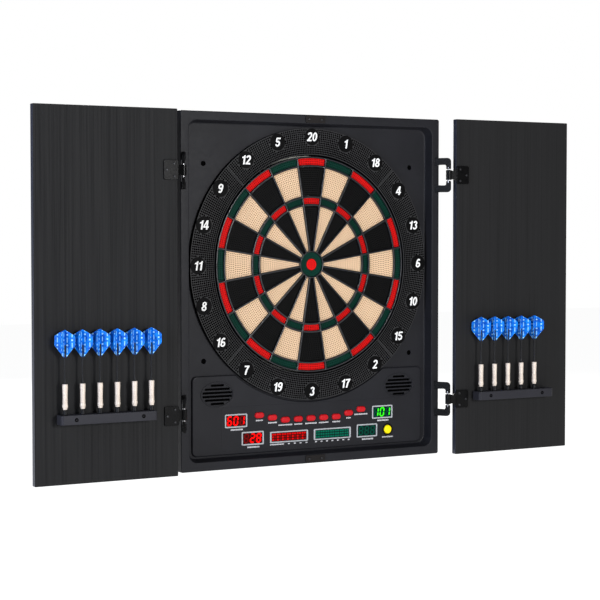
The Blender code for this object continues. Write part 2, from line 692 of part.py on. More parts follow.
def build():
    front_housing()
    rear_cover()
    number_ring()
    door_magnets()
    spider()
    for name, (inner, outer, steps) in SCORE_RINGS.items():
        segment_ring(name, inner, outer, steps)
    bulls()
    behind_the_target()
    displays()
    buttons()
    speakers()
    circuit_board()
    power_socket()
    for side_name, side in SIDES.items():
        pivot = bpy.data.objects.new(f"{side_name}_door_pivot", None)
        pivot.location = pivot_of(side)
        PARTS.objects.link(pivot)
        bpy.context.view_layer.update()
        door(side_name, side, pivot)
        for level_name, level in LEVELS.items():
            hinge_bracket(f"hinge_bracket_{side_name}_{level_name}", side, level)
            hinge_leaf(f"hinge_leaf_{side_name}_{level_name}", side, level, pivot)
        dart_rack(side_name, pivot)
        places = dart_places(side_name)
        for i in DARTS[side_name]:
            dart(f"dart_{side_name}_{i + 1}", places[i], pivot)


build()
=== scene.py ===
"""The looks of the electronic dartboard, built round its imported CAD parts.

Metres, +Z up, in the part's own frame: the board faces -Y and the wall is the plane y = 0.
A "depth" is a distance behind the cabinet's front face.  Outlines are lists of (x, z) points.
An "inset" moves an outline into the material: an outer outline shrinks and a hole grows.
"""

import json
from itertools import product
from math import asin, atan2, cos, hypot, pi, radians, sin, sqrt

import bmesh
import bpy
from mathutils import Matrix, Vector
from mathutils.geometry import delaunay_2d_cdt


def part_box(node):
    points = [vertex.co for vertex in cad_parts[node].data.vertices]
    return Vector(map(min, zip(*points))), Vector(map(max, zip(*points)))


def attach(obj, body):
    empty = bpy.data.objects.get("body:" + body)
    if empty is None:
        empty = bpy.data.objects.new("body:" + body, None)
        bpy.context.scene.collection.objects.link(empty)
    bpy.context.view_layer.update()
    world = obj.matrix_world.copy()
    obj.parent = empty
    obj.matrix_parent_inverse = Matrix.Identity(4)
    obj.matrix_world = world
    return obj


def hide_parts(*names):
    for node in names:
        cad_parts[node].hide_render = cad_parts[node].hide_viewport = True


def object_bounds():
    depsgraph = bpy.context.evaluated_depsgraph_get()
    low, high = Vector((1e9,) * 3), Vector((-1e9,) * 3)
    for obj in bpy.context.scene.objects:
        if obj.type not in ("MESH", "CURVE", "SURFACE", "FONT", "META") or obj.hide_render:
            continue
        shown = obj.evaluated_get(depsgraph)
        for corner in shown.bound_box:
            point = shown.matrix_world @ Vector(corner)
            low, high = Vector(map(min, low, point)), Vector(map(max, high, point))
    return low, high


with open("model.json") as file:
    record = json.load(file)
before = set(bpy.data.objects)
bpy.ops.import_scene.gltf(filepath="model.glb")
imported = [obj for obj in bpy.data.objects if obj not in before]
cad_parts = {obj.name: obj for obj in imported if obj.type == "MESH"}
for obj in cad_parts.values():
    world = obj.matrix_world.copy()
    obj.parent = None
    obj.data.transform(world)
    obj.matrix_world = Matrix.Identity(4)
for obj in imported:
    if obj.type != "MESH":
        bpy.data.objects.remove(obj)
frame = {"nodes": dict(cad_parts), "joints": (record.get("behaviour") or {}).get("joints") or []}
CAD_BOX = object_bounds()


# ---- sizes, from the frame
def middle(node):
    low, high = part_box(node)
    return (low + high) / 2


def place_of(node):
    """The (x, z) of a node's middle."""
    at = middle(node)
    return at.x, at.z


def size(node):
    low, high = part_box(node)
    return high - low


CASE = size("front_housing")
FACE_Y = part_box("front_housing")[0].y
BOARD_Z = middle("spider").z


def depths(node):
    """How far a node's front and back lie behind the cabinet's front face."""
    return [corner.y - FACE_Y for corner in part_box(node)]


def depth_of(node):
    return depths(node)[0]


# ---- sizes that the frame doesn't give
MM = 0.001
WALL = 0.003
RIM = 0.014
RECESS_DEPTH, RECESS_DRAFT, RECESS_CORNER, RECESS_FILLET = 0.017, 0.003, 0.014, 0.0016
SECTORS = 20
SECTOR = 2 * pi / SECTORS
WEB_WIDTH = 0.0026
PAD_FRONT, PAD_BACK, PAD_CLEARANCE = 0.0125, 0.026, 0.0004
# ring name: (inner radius, outer radius, steps along a sector's arc)
SCORE_RINGS = {
    "double_segments": (0.1572, 0.1682, 10),
    "outer_single_segments": (0.1084, 0.1544, 10),
    "triple_segments": (0.0958, 0.1054, 8),
    "inner_single_segments": (0.0216, 0.0928, 8),
}
BULL_HOLE, INNER_BULL = 0.0196, 0.009
NUMBER_RING_INNER, NUMBER_RING_OUTER = 0.1735, 0.215
NUMBER_RADIUS, NUMBER_BOSS = 0.2015, 0.01325
NUMBERS = (20, 1, 18, 4, 13, 6, 10, 15, 2, 17, 3, 19, 7, 16, 8, 11, 14, 9, 12, 5)
HOLE_PITCH = 0.0033

CONSOLE_FRONT, FASCIA_FRONT = 0.0135, 0.0133
CONSOLE_HALF_WIDTH, CONSOLE_BOTTOM, CONSOLE_TOP = 0.2105, -0.2545, -0.1304
CONSOLE_CORNER, RING_SURROUND = 0.008, 0.2175
FASCIA_CENTRE, FASCIA_SIZE = (0.0, -0.2145), (0.322, 0.069)
GRILLE_SIZE, GRILLE_SLOTS, GRILLE_SLOT_HEIGHT = (0.0584, 0.0402), 6, 0.0032
SCREW_HOLES = [(x, z) for x in (-0.189, 0.189) for z in (0.196, -0.1075)]

SIDES = {"left": -1, "right": 1}
LEVELS = ("upper", "lower")
DARTS = {"left": 6, "right": 5}
DART_PITCH = 0.0274
SCORE_DISPLAYS = [f"score_display_player_{i}" for i in range(1, 5)]
MARK_DISPLAYS = ["mark_display_left", "mark_display_right"]
OVAL_BUTTONS = ["power_button", "game_button", "option_button", "double_in_out_button",
                "handicap_button", "cyber_match_button", "bounce_out_button",
                "sound_button", "next_player_button"]


# ---- outlines
def oval_arc(centre, width, height, start, end, steps=14):
    """Points along an arc, in degrees anticlockwise from +X, both ends included."""
    turns = [radians(start + (end - start) * i / steps) for i in range(steps + 1)]
    return [(centre[0] + width / 2 * cos(turn), centre[1] + height / 2 * sin(turn)) for turn in turns]


def arc(centre, radius, start, end, steps):
    return oval_arc(centre, 2 * radius, 2 * radius, start, end, steps)


def ellipse(centre, width, height, sides=48):
    return oval_arc(centre, width, height, 0, 360, sides)[:-1]


def circle(centre, radius, sides):
    return ellipse(centre, 2 * radius, 2 * radius, sides)


def rectangle(centre, width, height, corner=0.0005, steps=4):
    x, z = centre
    dx, dz = width / 2 - corner, height / 2 - corner
    corners = ((x + dx, z + dz), (x - dx, z + dz), (x - dx, z - dz), (x + dx, z - dz))
    return [point for turn, at in enumerate(corners)
            for point in arc(at, corner, 90 * turn, 90 * turn + 90, steps)]


def stadium(centre, width, height, steps=10):
    """A bar with half-round ends."""
    x, z = centre
    radius, reach = height / 2, (width - height) / 2
    return arc((x + reach, z), radius, -90, 90, steps) + arc((x - reach, z), radius, 90, 270, steps)


def cross(centre, reach, arm):
    """A screw's cross slot."""
    quarter = [(reach, arm / 2), (arm / 2, arm / 2), (arm / 2, reach)]
    points = []
    for turn in range(4):
        c, s = cos(turn * pi / 2), sin(turn * pi / 2)
        points += [(centre[0] + x * c - z * s, centre[1] + x * s + z * c) for x, z in quarter]
    return points


def polar(radius, clockwise_from_top):
    """The (x, z) of a point on the target, from its centre."""
    return radius * sin(clockwise_from_top), BOARD_Z + radius * cos(clockwise_from_top)


def half_angle(radius, half_bar):
    """Half of a sector's angle at a radius, less half a bar whose sides are parallel."""
    return SECTOR / 2 - asin(half_bar / radius)


def field(number, inner, outer, half_bar, steps, way=-1):
    """The outline function of one score field, between bars whose sides are parallel."""
    def outline(inset):
        def row(radius):
            half = half_angle(radius, half_bar - way * inset)
            return [polar(radius, number * SECTOR - half + 2 * half * i / steps) for i in range(steps + 1)]

        return row(outer + way * inset) + row(inner - way * inset)[::-1]
    return outline


def band(inner, outer, start, end, steps):
    """Part of a flat ring round the target's centre, in degrees clockwise from the top."""
    angles = [radians(start + (end - start) * i / steps) for i in range(steps + 1)]
    return [polar(outer, a) for a in angles] + [polar(inner, a) for a in reversed(angles)]


def encloses(outline, point):
    """Whether a point lies inside a closed outline."""
    inside = False
    for (x0, z0), (x1, z1) in zip(outline, outline[1:] + outline[:1]):
        if (z0 > point[1]) != (z1 > point[1]) and point[0] < x0 + (x1 - x0) * (point[1] - z0) / (z1 - z0):
            inside = not inside
    return inside


# Outline functions: the outline for an inset.  An outer edge shrinks by it, and a hole grows.
GROWS = 1


def disc(at, radius, sides, way=-1):
    return lambda inset: circle(at, radius + way * inset, sides)


def slab(at, width, height, corner, steps=4, way=-1):
    return lambda inset: rectangle(at, width + 2 * way * inset, height + 2 * way * inset,
                                   corner + way * inset, steps)


def oval(make, at, width, height, way=-1):
    """For ellipse and stadium."""
    return lambda inset: make(at, width + 2 * way * inset, height + 2 * way * inset)


# ---- shapes
class Shape:
    """The points and faces of one mesh, in the part's frame but with depths for Y."""

    def __init__(self):
        self.points, self.faces = [], []

    def loop(self, outline, depth):
        start = len(self.points)
        self.points += [(x, depth, z) for x, z in outline]
        return list(range(start, len(self.points)))

    def bridge(self, one, other):
        """Faces between two loops of as many points; a loop of one point takes a fan."""
        count = max(len(one), len(other))
        for i in range(count):
            j = (i + 1) % count
            corners = (one[i % len(one)], one[j % len(one)], other[j % len(other)], other[i % len(other)])
            self.faces.append(tuple(dict.fromkeys(corners)))

    def fill(self, loops):
        """Fills the first loop, round any holes that the other loops bound."""
        if len(loops) == 1:
            self.faces.append(tuple(loops[0]))
            return
        indices, owner, edges = [], [], []
        for number, loop in enumerate(loops):
            start = len(indices)
            indices += loop
            owner += [number] * len(loop)
            edges += [(start + i, start + (i + 1) % len(loop)) for i in range(len(loop))]
        flat = [Vector((self.points[i][0], self.points[i][2])) for i in indices]
        inside_the_outline = 1
        result = delaunay_2d_cdt(flat, edges, [], inside_the_outline, 1e-7)
        for face in result[2]:
            corners = [result[3][v][0] for v in face]
            owners = {owner[corner] for corner in corners}
            hole = loops[min(owners)] if len(owners) == 1 and min(owners) else []
            centre = sum((flat[corner] for corner in corners), Vector((0, 0))) / len(corners)
            if not encloses([(self.points[i][0], self.points[i][2]) for i in hole], centre):
                self.faces.append(tuple(indices[corner] for corner in corners))

    def add(self, other, matrix=Matrix()):
        start = len(self.points)
        self.points += [tuple(matrix @ Vector(p)) for p in other.points]
        self.faces += [tuple(start + i for i in face) for face in other.faces]
        return self


def rounded(front, back, radius, steps=3, both=False):
    """(inset, depth) from front to back, round at the front edge and, with both, at the back one."""
    turn = [(radius * (1 - sin(i * pi / 2 / steps)), radius * (1 - cos(i * pi / 2 / steps)))
            for i in range(steps + 1)]
    profile = [(inset, front + drop) for inset, drop in turn]
    if both:
        return profile + [(inset, back - drop) for inset, drop in reversed(turn)]
    return profile + [(0.0, back)]


def moulded(outer, profile, holes=(), pits=()):
    """A flat solid whose edges follow a profile of (inset, depth) from its front to its back.

    outer and holes are outline functions, or outlines that no inset moves.  A pit is an outline
    and the depth of its floor."""
    shape = Shape()
    walls = [[shape.loop(outline(inset) if callable(outline) else outline, depth)
              for inset, depth in profile] for outline in (outer, *holes)]
    for wall in walls:
        for one, other in zip(wall, wall[1:]):
            shape.bridge(one, other)
    mouths = []
    for outline, floor in pits:
        mouth, bottom = shape.loop(outline, profile[0][1]), shape.loop(outline, floor)
        shape.bridge(mouth, bottom)
        shape.fill([bottom])
        mouths.append(mouth)
    shape.fill([wall[0] for wall in walls] + mouths)
    shape.fill([wall[-1] for wall in walls])
    return shape


def turned(profile, sides, closed=False):
    """A solid turned about Z from (radius, height) in mm; a closed profile makes a ring."""
    shape = Shape()
    rows = []
    for radius, height in [(radius * MM, height * MM) for radius, height in profile]:
        around = range(sides if radius else 1)
        rows.append([len(shape.points) + i for i in around])
        shape.points += [(radius * cos(2 * pi * i / sides), radius * sin(2 * pi * i / sides), height)
                         for i in around]
    for one, other in zip(rows, rows[1:] + rows[:1] if closed else rows[1:]):
        shape.bridge(one, other)
    return shape


FACING_FRONT = Matrix.Rotation(pi / 2, 4, "X")      # turns a shape's +Z to -Y
IN_FRAME = Matrix.Translation((0, FACE_Y, 0))       # depths to world Y


def place_in_scene(name, data):
    obj = bpy.data.objects.new(name, data)
    bpy.context.scene.collection.objects.link(obj)
    return obj


def piece(name, shape, finish, body="cabinet", stands_for=(), place=IN_FRAME, sharp=50,
          sunk=None):
    """Makes a mesh object with its material, shading, body, slot and what it replaces.

    sharp is the least angle of a sharp edge, in degrees.  sunk is (finish, depth): the faces that lie
    behind that depth get that finish, painted shade in holes and slots."""
    mesh = bpy.data.meshes.new(name)
    mesh.from_pydata(shape.points, [], shape.faces)
    mesh.transform(place)
    work = bmesh.new()
    work.from_mesh(mesh)
    bmesh.ops.recalc_face_normals(work, faces=work.faces)
    work.to_mesh(mesh)
    work.free()
    mesh.materials.append(finish)
    # Faces behind the depth get the second finish: painted shade.
    if sunk:
        mesh.materials.append(sunk[0])
        for face in mesh.polygons:
            face.material_index = int(face.center.y > FACE_Y + sunk[1])
    mesh.shade_smooth()
    mesh.set_sharp_from_angle(angle=radians(sharp))
    obj = place_in_scene(name, mesh)
    obj.modifiers.new("flat_flats", "WEIGHTED_NORMAL").keep_sharp = True
    if stands_for:
        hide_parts(*stands_for)
    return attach(obj, body)


# ---- materials
def fill_in(node, **values):
    """Sets a node's own sockets: an underscore stands for a space."""
    for key, value in values.items():
        node.inputs[key.replace("_", " ")].default_value = value


class Nodes:
    """A material's node tree, with the few calls that the materials below share."""

    def __init__(self, name):
        self.material = bpy.data.materials.new(f"{name}_look")
        self.material.use_nodes = True
        self.tree = self.material.node_tree
        self.shader = self.tree.nodes["Principled BSDF"]
        self.place = self.new("TexCoord").outputs["Object"]

    def new(self, kind, **settings):
        node = self.tree.nodes.new("ShaderNode" + kind)
        for key, value in settings.items():
            setattr(node, key, value)
        return node

    def link(self, source, socket):
        self.tree.links.new(source, socket)

    def feed(self, source, name="Base Color"):
        """Links a value to one of the shader's own sockets."""
        self.link(source, self.shader.inputs[name])

    def set(self, **values):
        """Sets the shader's own sockets."""
        fill_in(self.shader, **values)
        return self

    def stretched(self, scale):
        mapping = self.new("Mapping")
        self.link(self.place, mapping.inputs["Vector"])
        fill_in(mapping, Scale=scale)
        return mapping.outputs["Vector"]

    def noise(self, scale, detail=3.0, roughness=0.5, vector=None):
        node = self.new("TexNoise")
        self.link(vector or self.place, node.inputs["Vector"])
        fill_in(node, Scale=scale, Detail=detail, Roughness=roughness)
        return node.outputs["Fac"]

    def ramp(self, value, *stops):
        """A colour or grey for each value between stops of (position, colour)."""
        node = self.new("ValToRGB")
        self.link(value, node.inputs["Fac"])
        elements = node.color_ramp.elements
        while len(elements) < len(stops):
            elements.new(0.5)
        for element, (position, colour) in zip(elements, stops):
            element.position = position
            element.color = (*colour, 1) if isinstance(colour, tuple) else (colour,) * 3 + (1,)
        return node.outputs["Color"]

    def math(self, operation, one, other=None):
        node = self.new("Math", operation=operation)
        for socket, value in zip(node.inputs, (one, other)):
            if isinstance(value, (int, float)):
                socket.default_value = value
            elif value is not None:
                self.link(value, socket)
        return node.outputs["Value"]

    def mix(self, factor, one, other):
        node = self.new("Mix", data_type="RGBA")
        self.link(factor, node.inputs["Factor"])
        for socket, value in ((node.inputs["A"], one), (node.inputs["B"], other)):
            if isinstance(value, tuple):
                socket.default_value = (*value, 1)
            else:
                self.link(value, socket)
        return node.outputs["Result"]

    def bump(self, height, distance, strength=1.0):
        node = self.new("Bump")
        self.link(height, node.inputs["Height"])
        fill_in(node, Distance=distance, Strength=strength)
        self.feed(node.outputs["Normal"], "Normal")


def shade(colour, factor):
    return tuple(channel * factor for channel in colour)


def plastic(name, colour, roughness=0.45, grain=0.00004, grain_scale=1800, variation=0.12, specular=0.13,
            **sockets):
    """Moulded plastic: a spark-eroded grain, cloudy gloss and a little unevenness of colour."""
    nodes = Nodes(name).set(Specular_IOR_Level=specular, **sockets)
    clouds = nodes.noise(22, 4)
    nodes.feed(nodes.ramp(clouds, (0.3, shade(colour, 1 - variation)), (0.7, shade(colour, 1 + variation))))
    scuffs = nodes.noise(140, 5, 0.65)
    nodes.feed(nodes.ramp(scuffs, (0.3, roughness * 0.85), (0.75, min(1.0, roughness * 1.2))), "Roughness")
    nodes.bump(nodes.noise(grain_scale, 2), grain)
    return nodes.material


def black_ash(name):
    """Black wood-grain foil: fine upright pores pressed into it, between faint lighter lines."""
    nodes = Nodes(name).set(Specular_IOR_Level=0.12)
    pores = nodes.noise(1.0, 4, 0.6, nodes.stretched((420, 420, 3.5)))
    lines = nodes.noise(1.0, 2, 0.5, nodes.stretched((230, 230, 0.9)))
    base = nodes.ramp(lines, (0.4, (0.0122, 0.0122, 0.0127)), (0.7, (0.014, 0.014, 0.0146)))
    dark = nodes.ramp(pores, (0.32, 0.0), (0.46, 1.0))
    nodes.feed(nodes.mix(dark, (0.0104, 0.0104, 0.0109), base))
    nodes.feed(nodes.ramp(pores, (0.35, 0.7), (0.6, 0.55)), "Roughness")
    nodes.bump(pores, 0.00005, 0.8)
    return nodes.material


def edge_band(name):
    """The smooth satin strip round a door's edges, lighter and bluer than the door's face:
    its own satin finish, with painted sheen of the light from the left in its colour.
    """
    nodes = Nodes(name)
    lines = nodes.noise(1.0, 4, 0.6, nodes.stretched((300, 300, 5)))
    nodes.feed(nodes.ramp(lines, (0.3, (0.02, 0.023, 0.036)), (0.7, (0.03, 0.034, 0.052))))
    nodes.feed(nodes.ramp(lines, (0.3, 0.32), (0.7, 0.42)), "Roughness")
    nodes.bump(lines, 0.00005)
    return nodes.material


def metal(name, colour, roughness, metallic=1.0, brush=(900, 900, 60)):
    nodes = Nodes(name).set(Metallic=metallic)
    lines = nodes.noise(1.0, 3, 0.6, nodes.stretched(brush))
    nodes.feed(nodes.ramp(lines, (0.3, shade(colour, 0.85)), (0.7, shade(colour, 1.1))))
    nodes.feed(nodes.ramp(lines, (0.3, roughness * 0.8), (0.7, roughness * 1.25)), "Roughness")
    nodes.bump(lines, 0.00002)
    return nodes.material


def lamp(name, colour, strength):
    """A lamp segment behind smoked plastic: its glow is a little uneven."""
    nodes = Nodes(name).set(Roughness=0.4, Emission_Strength=strength, Specular_IOR_Level=0.03)
    clouds = nodes.noise(900, 2)
    glow = nodes.ramp(clouds, (0.25, shade(colour, 0.8)), (0.75, colour))
    nodes.feed(glow)
    nodes.feed(glow, "Emission Color")
    return nodes.material


def flight_film(name):
    """Blue printed film: pale dashes and dots in upright columns, read from the wing's own place."""
    column_width, repeat, dot_radius = 0.0076, 0.015, 0.0014
    dash_half, dash_share, dot_at = 0.085, 0.46, 0.73       # shares of a column, or of a repeat
    nodes = Nodes(name).set(Roughness=0.5, Specular_IOR_Level=0.15)
    calc = nodes.math
    split = nodes.new("SeparateXYZ")
    nodes.link(nodes.new("Attribute", attribute_name="wing_place").outputs["Vector"],
               split.inputs["Vector"])
    columns = calc("DIVIDE", split.outputs["X"], column_width)
    beside = calc("ABSOLUTE", calc("SUBTRACT", calc("FRACT", columns), 0.5))
    stagger = calc("MULTIPLY", calc("FLOOR", columns), 0.5)
    along = calc("FRACT", calc("ADD", calc("DIVIDE", split.outputs["Z"], repeat), stagger))
    dash = calc("MULTIPLY", calc("LESS_THAN", beside, dash_half), calc("LESS_THAN", along, dash_share))
    across = calc("POWER", calc("MULTIPLY", beside, column_width), 2)
    up = calc("POWER", calc("MULTIPLY", calc("SUBTRACT", along, dot_at), repeat), 2)
    dot = calc("LESS_THAN", calc("ADD", across, up), dot_radius ** 2)
    blue = nodes.ramp(nodes.noise(160, 3), (0.35, (0.0004, 0.085, 0.52)), (0.65, (0.001, 0.25, 0.9)))
    nodes.feed(nodes.mix(calc("MAXIMUM", dash, dot), blue, (0.36, 0.72, 0.97)))
    nodes.bump(nodes.noise(1500, 2), 0.00001)
    return nodes.material


def printed_board(name):
    nodes = Nodes(name).set(Roughness=0.4)
    tracks = nodes.new("TexBrick")
    nodes.link(nodes.stretched((90, 90, 90)), tracks.inputs["Vector"])
    fill_in(tracks, Color1=(0.012, 0.1, 0.035, 1), Color2=(0.016, 0.13, 0.045, 1),
            Mortar=(0.05, 0.22, 0.08, 1))
    nodes.feed(tracks.outputs["Color"])
    nodes.bump(tracks.outputs["Fac"], 0.00003)
    return nodes.material


CASE_PLASTIC = plastic("case_plastic", (0.0118, 0.012, 0.015), 0.42)
BACK_PLASTIC = plastic("back_cover", (0.02, 0.02, 0.022), 0.55, grain=0.00008, grain_scale=900)
RING_PLASTIC = plastic("number_boss", (0.0016, 0.0016, 0.0018), 0.5, specular=0.05)
RING_TOP = plastic("number_ring", (0.03, 0.03, 0.031), 0.42, specular=0.08)
# Near black: painted shade on the walls and floors of pits, slots and screw holes; also the rack screws' own
# black.
PAINTED_SHADE_AND_SCREW_BLACK = plastic("hole", (0.001, 0.001, 0.0011), 0.8, specular=0.02)
WEB_PLASTIC = plastic("web", (0.006, 0.007, 0.01), 0.24, grain=0.00001, specular=0.5)
PADS = {
    "black": plastic("black_pad", (0.003, 0.003, 0.0032), 0.5, specular=0.06),
    "cream": plastic("cream_pad", (0.8, 0.56, 0.36), 0.5, variation=0.04),
    "red": plastic("red_pad", (0.68, 0.005, 0.005), 0.5, variation=0.06, specular=0.06),
    "green": plastic("green_pad", (0.0008, 0.032, 0.021), 0.5, specular=0.06),
}
# Darker copies of the pad colours for the walls and floors of the pads' holes: painted shade.
PAINTED_PIT_SHADE = {
    "black": PAINTED_SHADE_AND_SCREW_BLACK,
    "cream": plastic("cream_pit_shade", (0.36, 0.21, 0.11), 0.6, variation=0.04),
    "red": plastic("red_pit_shade", (0.3, 0.006, 0.006), 0.6, variation=0.06),
    "green": plastic("green_pit_shade", (0.0005, 0.007, 0.005), 0.6, specular=0.03),
}
BUTTON_RED = plastic("button_red", (0.5, 0.007, 0.012), 0.4, variation=0.05)
BUTTON_YELLOW = plastic("button_yellow", (0.95, 0.78, 0), 0.4, variation=0.04, Coat_Weight=0.1)
FRAME_GREY = plastic("display_frame", (0.4, 0.42, 0.44), 0.4, variation=0.05)
WINDOWS = {
    "red": plastic("red_window", (0.03, 0.0006, 0.0006), 0.3, grain=0.000004, specular=0.05),
    "green": plastic("green_window", (0.0006, 0.01, 0.008), 0.3, grain=0.000004, specular=0.05),
}
INK = plastic("printed_mark", (0.6, 0.6, 0.62), 0.5, variation=0.05)
NUMBER_INK = plastic("number", (0.88, 0.88, 0.87), 0.45, variation=0.03)
DOOR_FOIL = black_ash("door_foil")
DOOR_EDGE_SHEEN = edge_band("door_edge_sheen")
RACK_PLASTIC = plastic("rack", (0.024, 0.024, 0.03), 0.42)
HINGE_PLASTIC = plastic("hinge", (0.0018, 0.0018, 0.002), 0.3, specular=0.1)
CONE_PAPER = plastic("speaker_cone", (0.0014, 0.0014, 0.0015), 0.9, grain=0.0001, grain_scale=500,
                     specular=0.02)
CATCH_STEEL = metal("catch_plate", (0.019, 0.0175, 0.0175), 0.5)
SCREW_STEEL = metal("screw", (0.045, 0.045, 0.048), 0.4)
ROD_STEEL = metal("hinge_rod", (0.33, 0.33, 0.34), 0.3)
BARREL_METAL = metal("dart_barrel", (0.74, 0.64, 0.55), 0.4, metallic=0.15, brush=(500, 500, 1400))
TIP_NYLON = plastic("dart_tip", (0.01, 0.01, 0.011), 0.4)
SHAFT_NYLON = plastic("dart_shaft", (0.013, 0.013, 0.014), 0.3)
FLIGHT_FILM = flight_film("flight")
MEMBRANE = plastic("membrane", (0.5, 0.5, 0.45), 0.4, variation=0.1)
BOARD_GREEN = printed_board("circuit_board")
LAMPS = {name: lamp(f"{name}_lamp", colour, strength) for name, colour, strength in (
    ("red", (1.0, 0.001, 0.001), 1.0),
    ("dim_red", (0.13, 0.001, 0.001), 0.5),
    ("green", (0.03, 0.8, 0.01), 0.75),
    ("dim_green", (0.0005, 0.045, 0.028), 0.5),
    ("row_red", (0.5, 0.001, 0.001), 0.5),
    ("dim_row_red", (0.16, 0.001, 0.001), 0.5),
    ("dim_row_green", (0.0005, 0.095, 0.056), 0.5))}


# ---- small shared pieces
def screw(radius, height=0.0012):
    """A cross-slotted head, standing out by its height from depth 0."""
    return moulded(disc((0, 0), radius, 20), rounded(-height, 0.0004, height * 0.7),
                   pits=[(cross((0, 0), radius * 0.55, radius * 0.24), -height * 0.35)])


def screws(name, places, radius, body="cabinet", turn=Matrix(), finish=None):
    """Screw heads at world places, as one piece; turn is the way that they face."""
    heads = Shape()
    for place in places:
        heads.add(screw(radius), Matrix.Translation(place) @ turn)
    return piece(name, heads, finish or SCREW_STEEL, body, place=Matrix(), sharp=40)


# ---- cabinet
def case_front():
    """The case's walls, rim, recess and recess floor."""
    shape = Shape()
    floor_back = RECESS_DEPTH + WALL
    foot = RIM + RECESS_DRAFT
    edge = 0.0015
    # (inset, depth, corner radius), from the back of the floor, round the wall, to its front
    section = [(foot + RECESS_FILLET, floor_back, RECESS_CORNER), (foot - WALL, floor_back, RECESS_CORNER),
               (RIM - WALL, WALL, RECESS_CORNER), (WALL, WALL, 0.001), (WALL, CASE.y, 0.001),
               (0.0, CASE.y, edge)]
    section += [(inset, depth, edge + 0.0015) for inset, depth in reversed(rounded(0.0, 0.01, edge)[:-1])]
    section += [(RIM - inset, depth, RECESS_CORNER) for inset, depth in rounded(0.0, 0.01, 0.0012)[:-1]]
    turn = [i * pi / 2 / 3 for i in range(4)]
    slope = RECESS_DRAFT / RECESS_DEPTH
    section += [(foot - RECESS_FILLET * slope * cos(t) + RECESS_FILLET * (1 - cos(t)),
                 RECESS_DEPTH - RECESS_FILLET * (1 - sin(t)), RECESS_CORNER) for t in turn]
    loops = [shape.loop(rectangle((0, 0), CASE.x - 2 * inset, CASE.z - 2 * inset, corner, 8), depth)
             for inset, depth, corner in section]
    for one, other in zip(loops, loops[1:] + loops[:1]):
        shape.bridge(one, other)
    last = section[-1][0]
    holes = [disc((0, BOARD_Z), NUMBER_RING_INNER + 0.0015, 96, GROWS)]
    holes += [disc(at, 0.004, 24, GROWS) for at in SCREW_HOLES]
    holes += [oval(ellipse, place_of(f"speaker_{side}"), GRILLE_SIZE[0] - 0.006, GRILLE_SIZE[1] - 0.006,
                   GROWS) for side in SIDES]
    shape.add(moulded(rectangle((0, 0), CASE.x - 2 * last, CASE.z - 2 * last, RECESS_CORNER, 8),
                      [(0.0004, RECESS_DEPTH), (0.0, RECESS_DEPTH + 0.0004), (0.0, floor_back)], holes))
    piece("case_front", shape, CASE_PLASTIC, stands_for=["front_housing"])
    # Near-black screw heads at the bottom of the floor's holes: painted shade, so the holes read dark.
    screws("recess_screws", [Vector((x, FACE_Y + floor_back, z)) for x, z in SCREW_HOLES], 0.0045,
           finish=PAINTED_SHADE_AND_SCREW_BLACK)


def console_outline(inset):
    """A round-cornered panel with a bite taken out by the number ring."""
    half, corner = CONSOLE_HALF_WIDTH - inset, CONSOLE_CORNER - inset / 2
    bottom, top = CONSOLE_BOTTOM + inset, CONSOLE_TOP - inset
    bite, drop = RING_SURROUND + inset, BOARD_Z - top
    half_turn = atan2(sqrt(bite ** 2 - drop ** 2), drop) * 180 / pi
    left, right = -half + corner, half - corner
    return (arc((right, bottom + corner), corner, -90, 0, 6)
            + arc((right, top - corner), corner, 0, 90, 6)
            + arc((0, BOARD_Z), bite, -90 + half_turn, -90 - half_turn, 40)
            + arc((left, top - corner), corner, 90, 180, 6)
            + arc((left, bottom + corner), corner, 180, 270, 6))


def console():
    """The control panel, the raised fascia on it, and the two speaker grilles."""
    grilles = {side: place_of(f"speaker_{side}") for side in SIDES}
    openings = [oval(ellipse, at, GRILLE_SIZE[0] - 0.003, GRILLE_SIZE[1] - 0.003, GROWS)
                for at in grilles.values()]
    openings.append(rectangle(FASCIA_CENTRE, FASCIA_SIZE[0] - 0.006, FASCIA_SIZE[1] - 0.006, 0.003))
    piece("control_panel", moulded(
        console_outline, rounded(CONSOLE_FRONT, RECESS_DEPTH + WALL - 0.0005, 0.002, 4), openings),
        CASE_PLASTIC)

    holes = [slab(place_of(node), size(node).x + 0.0006, size(node).z + 0.0006, 0.0008, way=GROWS)
             for node in SCORE_DISPLAYS + MARK_DISPLAYS]
    holes += [oval(stadium, place_of(node), 0.0173, 0.01, GROWS) for node in OVAL_BUTTONS]
    holes.append(disc(place_of("start_button"), 0.0082, 32, GROWS))
    piece("console_fascia", moulded(
        slab(FASCIA_CENTRE, *FASCIA_SIZE, 0.006, 6), rounded(FASCIA_FRONT, FASCIA_FRONT + 0.0025, 0.0002, 2),
        holes), CASE_PLASTIC)
    for side, at in grilles.items():
        # Faces more than 0.9 mm behind the console's front get near black: painted shade in the slots.
        piece(f"speaker_grille_{side}", grille(at), CASE_PLASTIC,
              sunk=(PAINTED_SHADE_AND_SCREW_BLACK, CONSOLE_FRONT + 0.0009))


def grille(at):
    """An oval of level slats inside a raised rim."""
    slat_front = CONSOLE_FRONT + 0.0004
    width, height = GRILLE_SIZE[0] - 0.0052, GRILLE_SIZE[1] - 0.0052
    pitch = 0.034 / GRILLE_SLOTS
    slots = []
    for i in range(GRILLE_SLOTS):
        rise = (i - (GRILLE_SLOTS - 1) / 2) * pitch
        reach = width * sqrt(1 - ((2 * abs(rise) + GRILLE_SLOT_HEIGHT) / height) ** 2) - 0.0008
        slots.append(slab((at[0], at[1] + rise), reach, GRILLE_SLOT_HEIGHT, 0.0006, way=GROWS))
    slats = moulded(ellipse(at, width + 0.002, height + 0.002),
                    rounded(slat_front, slat_front + 0.0016, 0.0004, 2), slots)
    return slats.add(moulded(oval(ellipse, at, *GRILLE_SIZE),
                             rounded(CONSOLE_FRONT - 0.0006, CONSOLE_FRONT + 0.0024, 0.0006),
                             [oval(ellipse, at, width, height, GROWS)]))


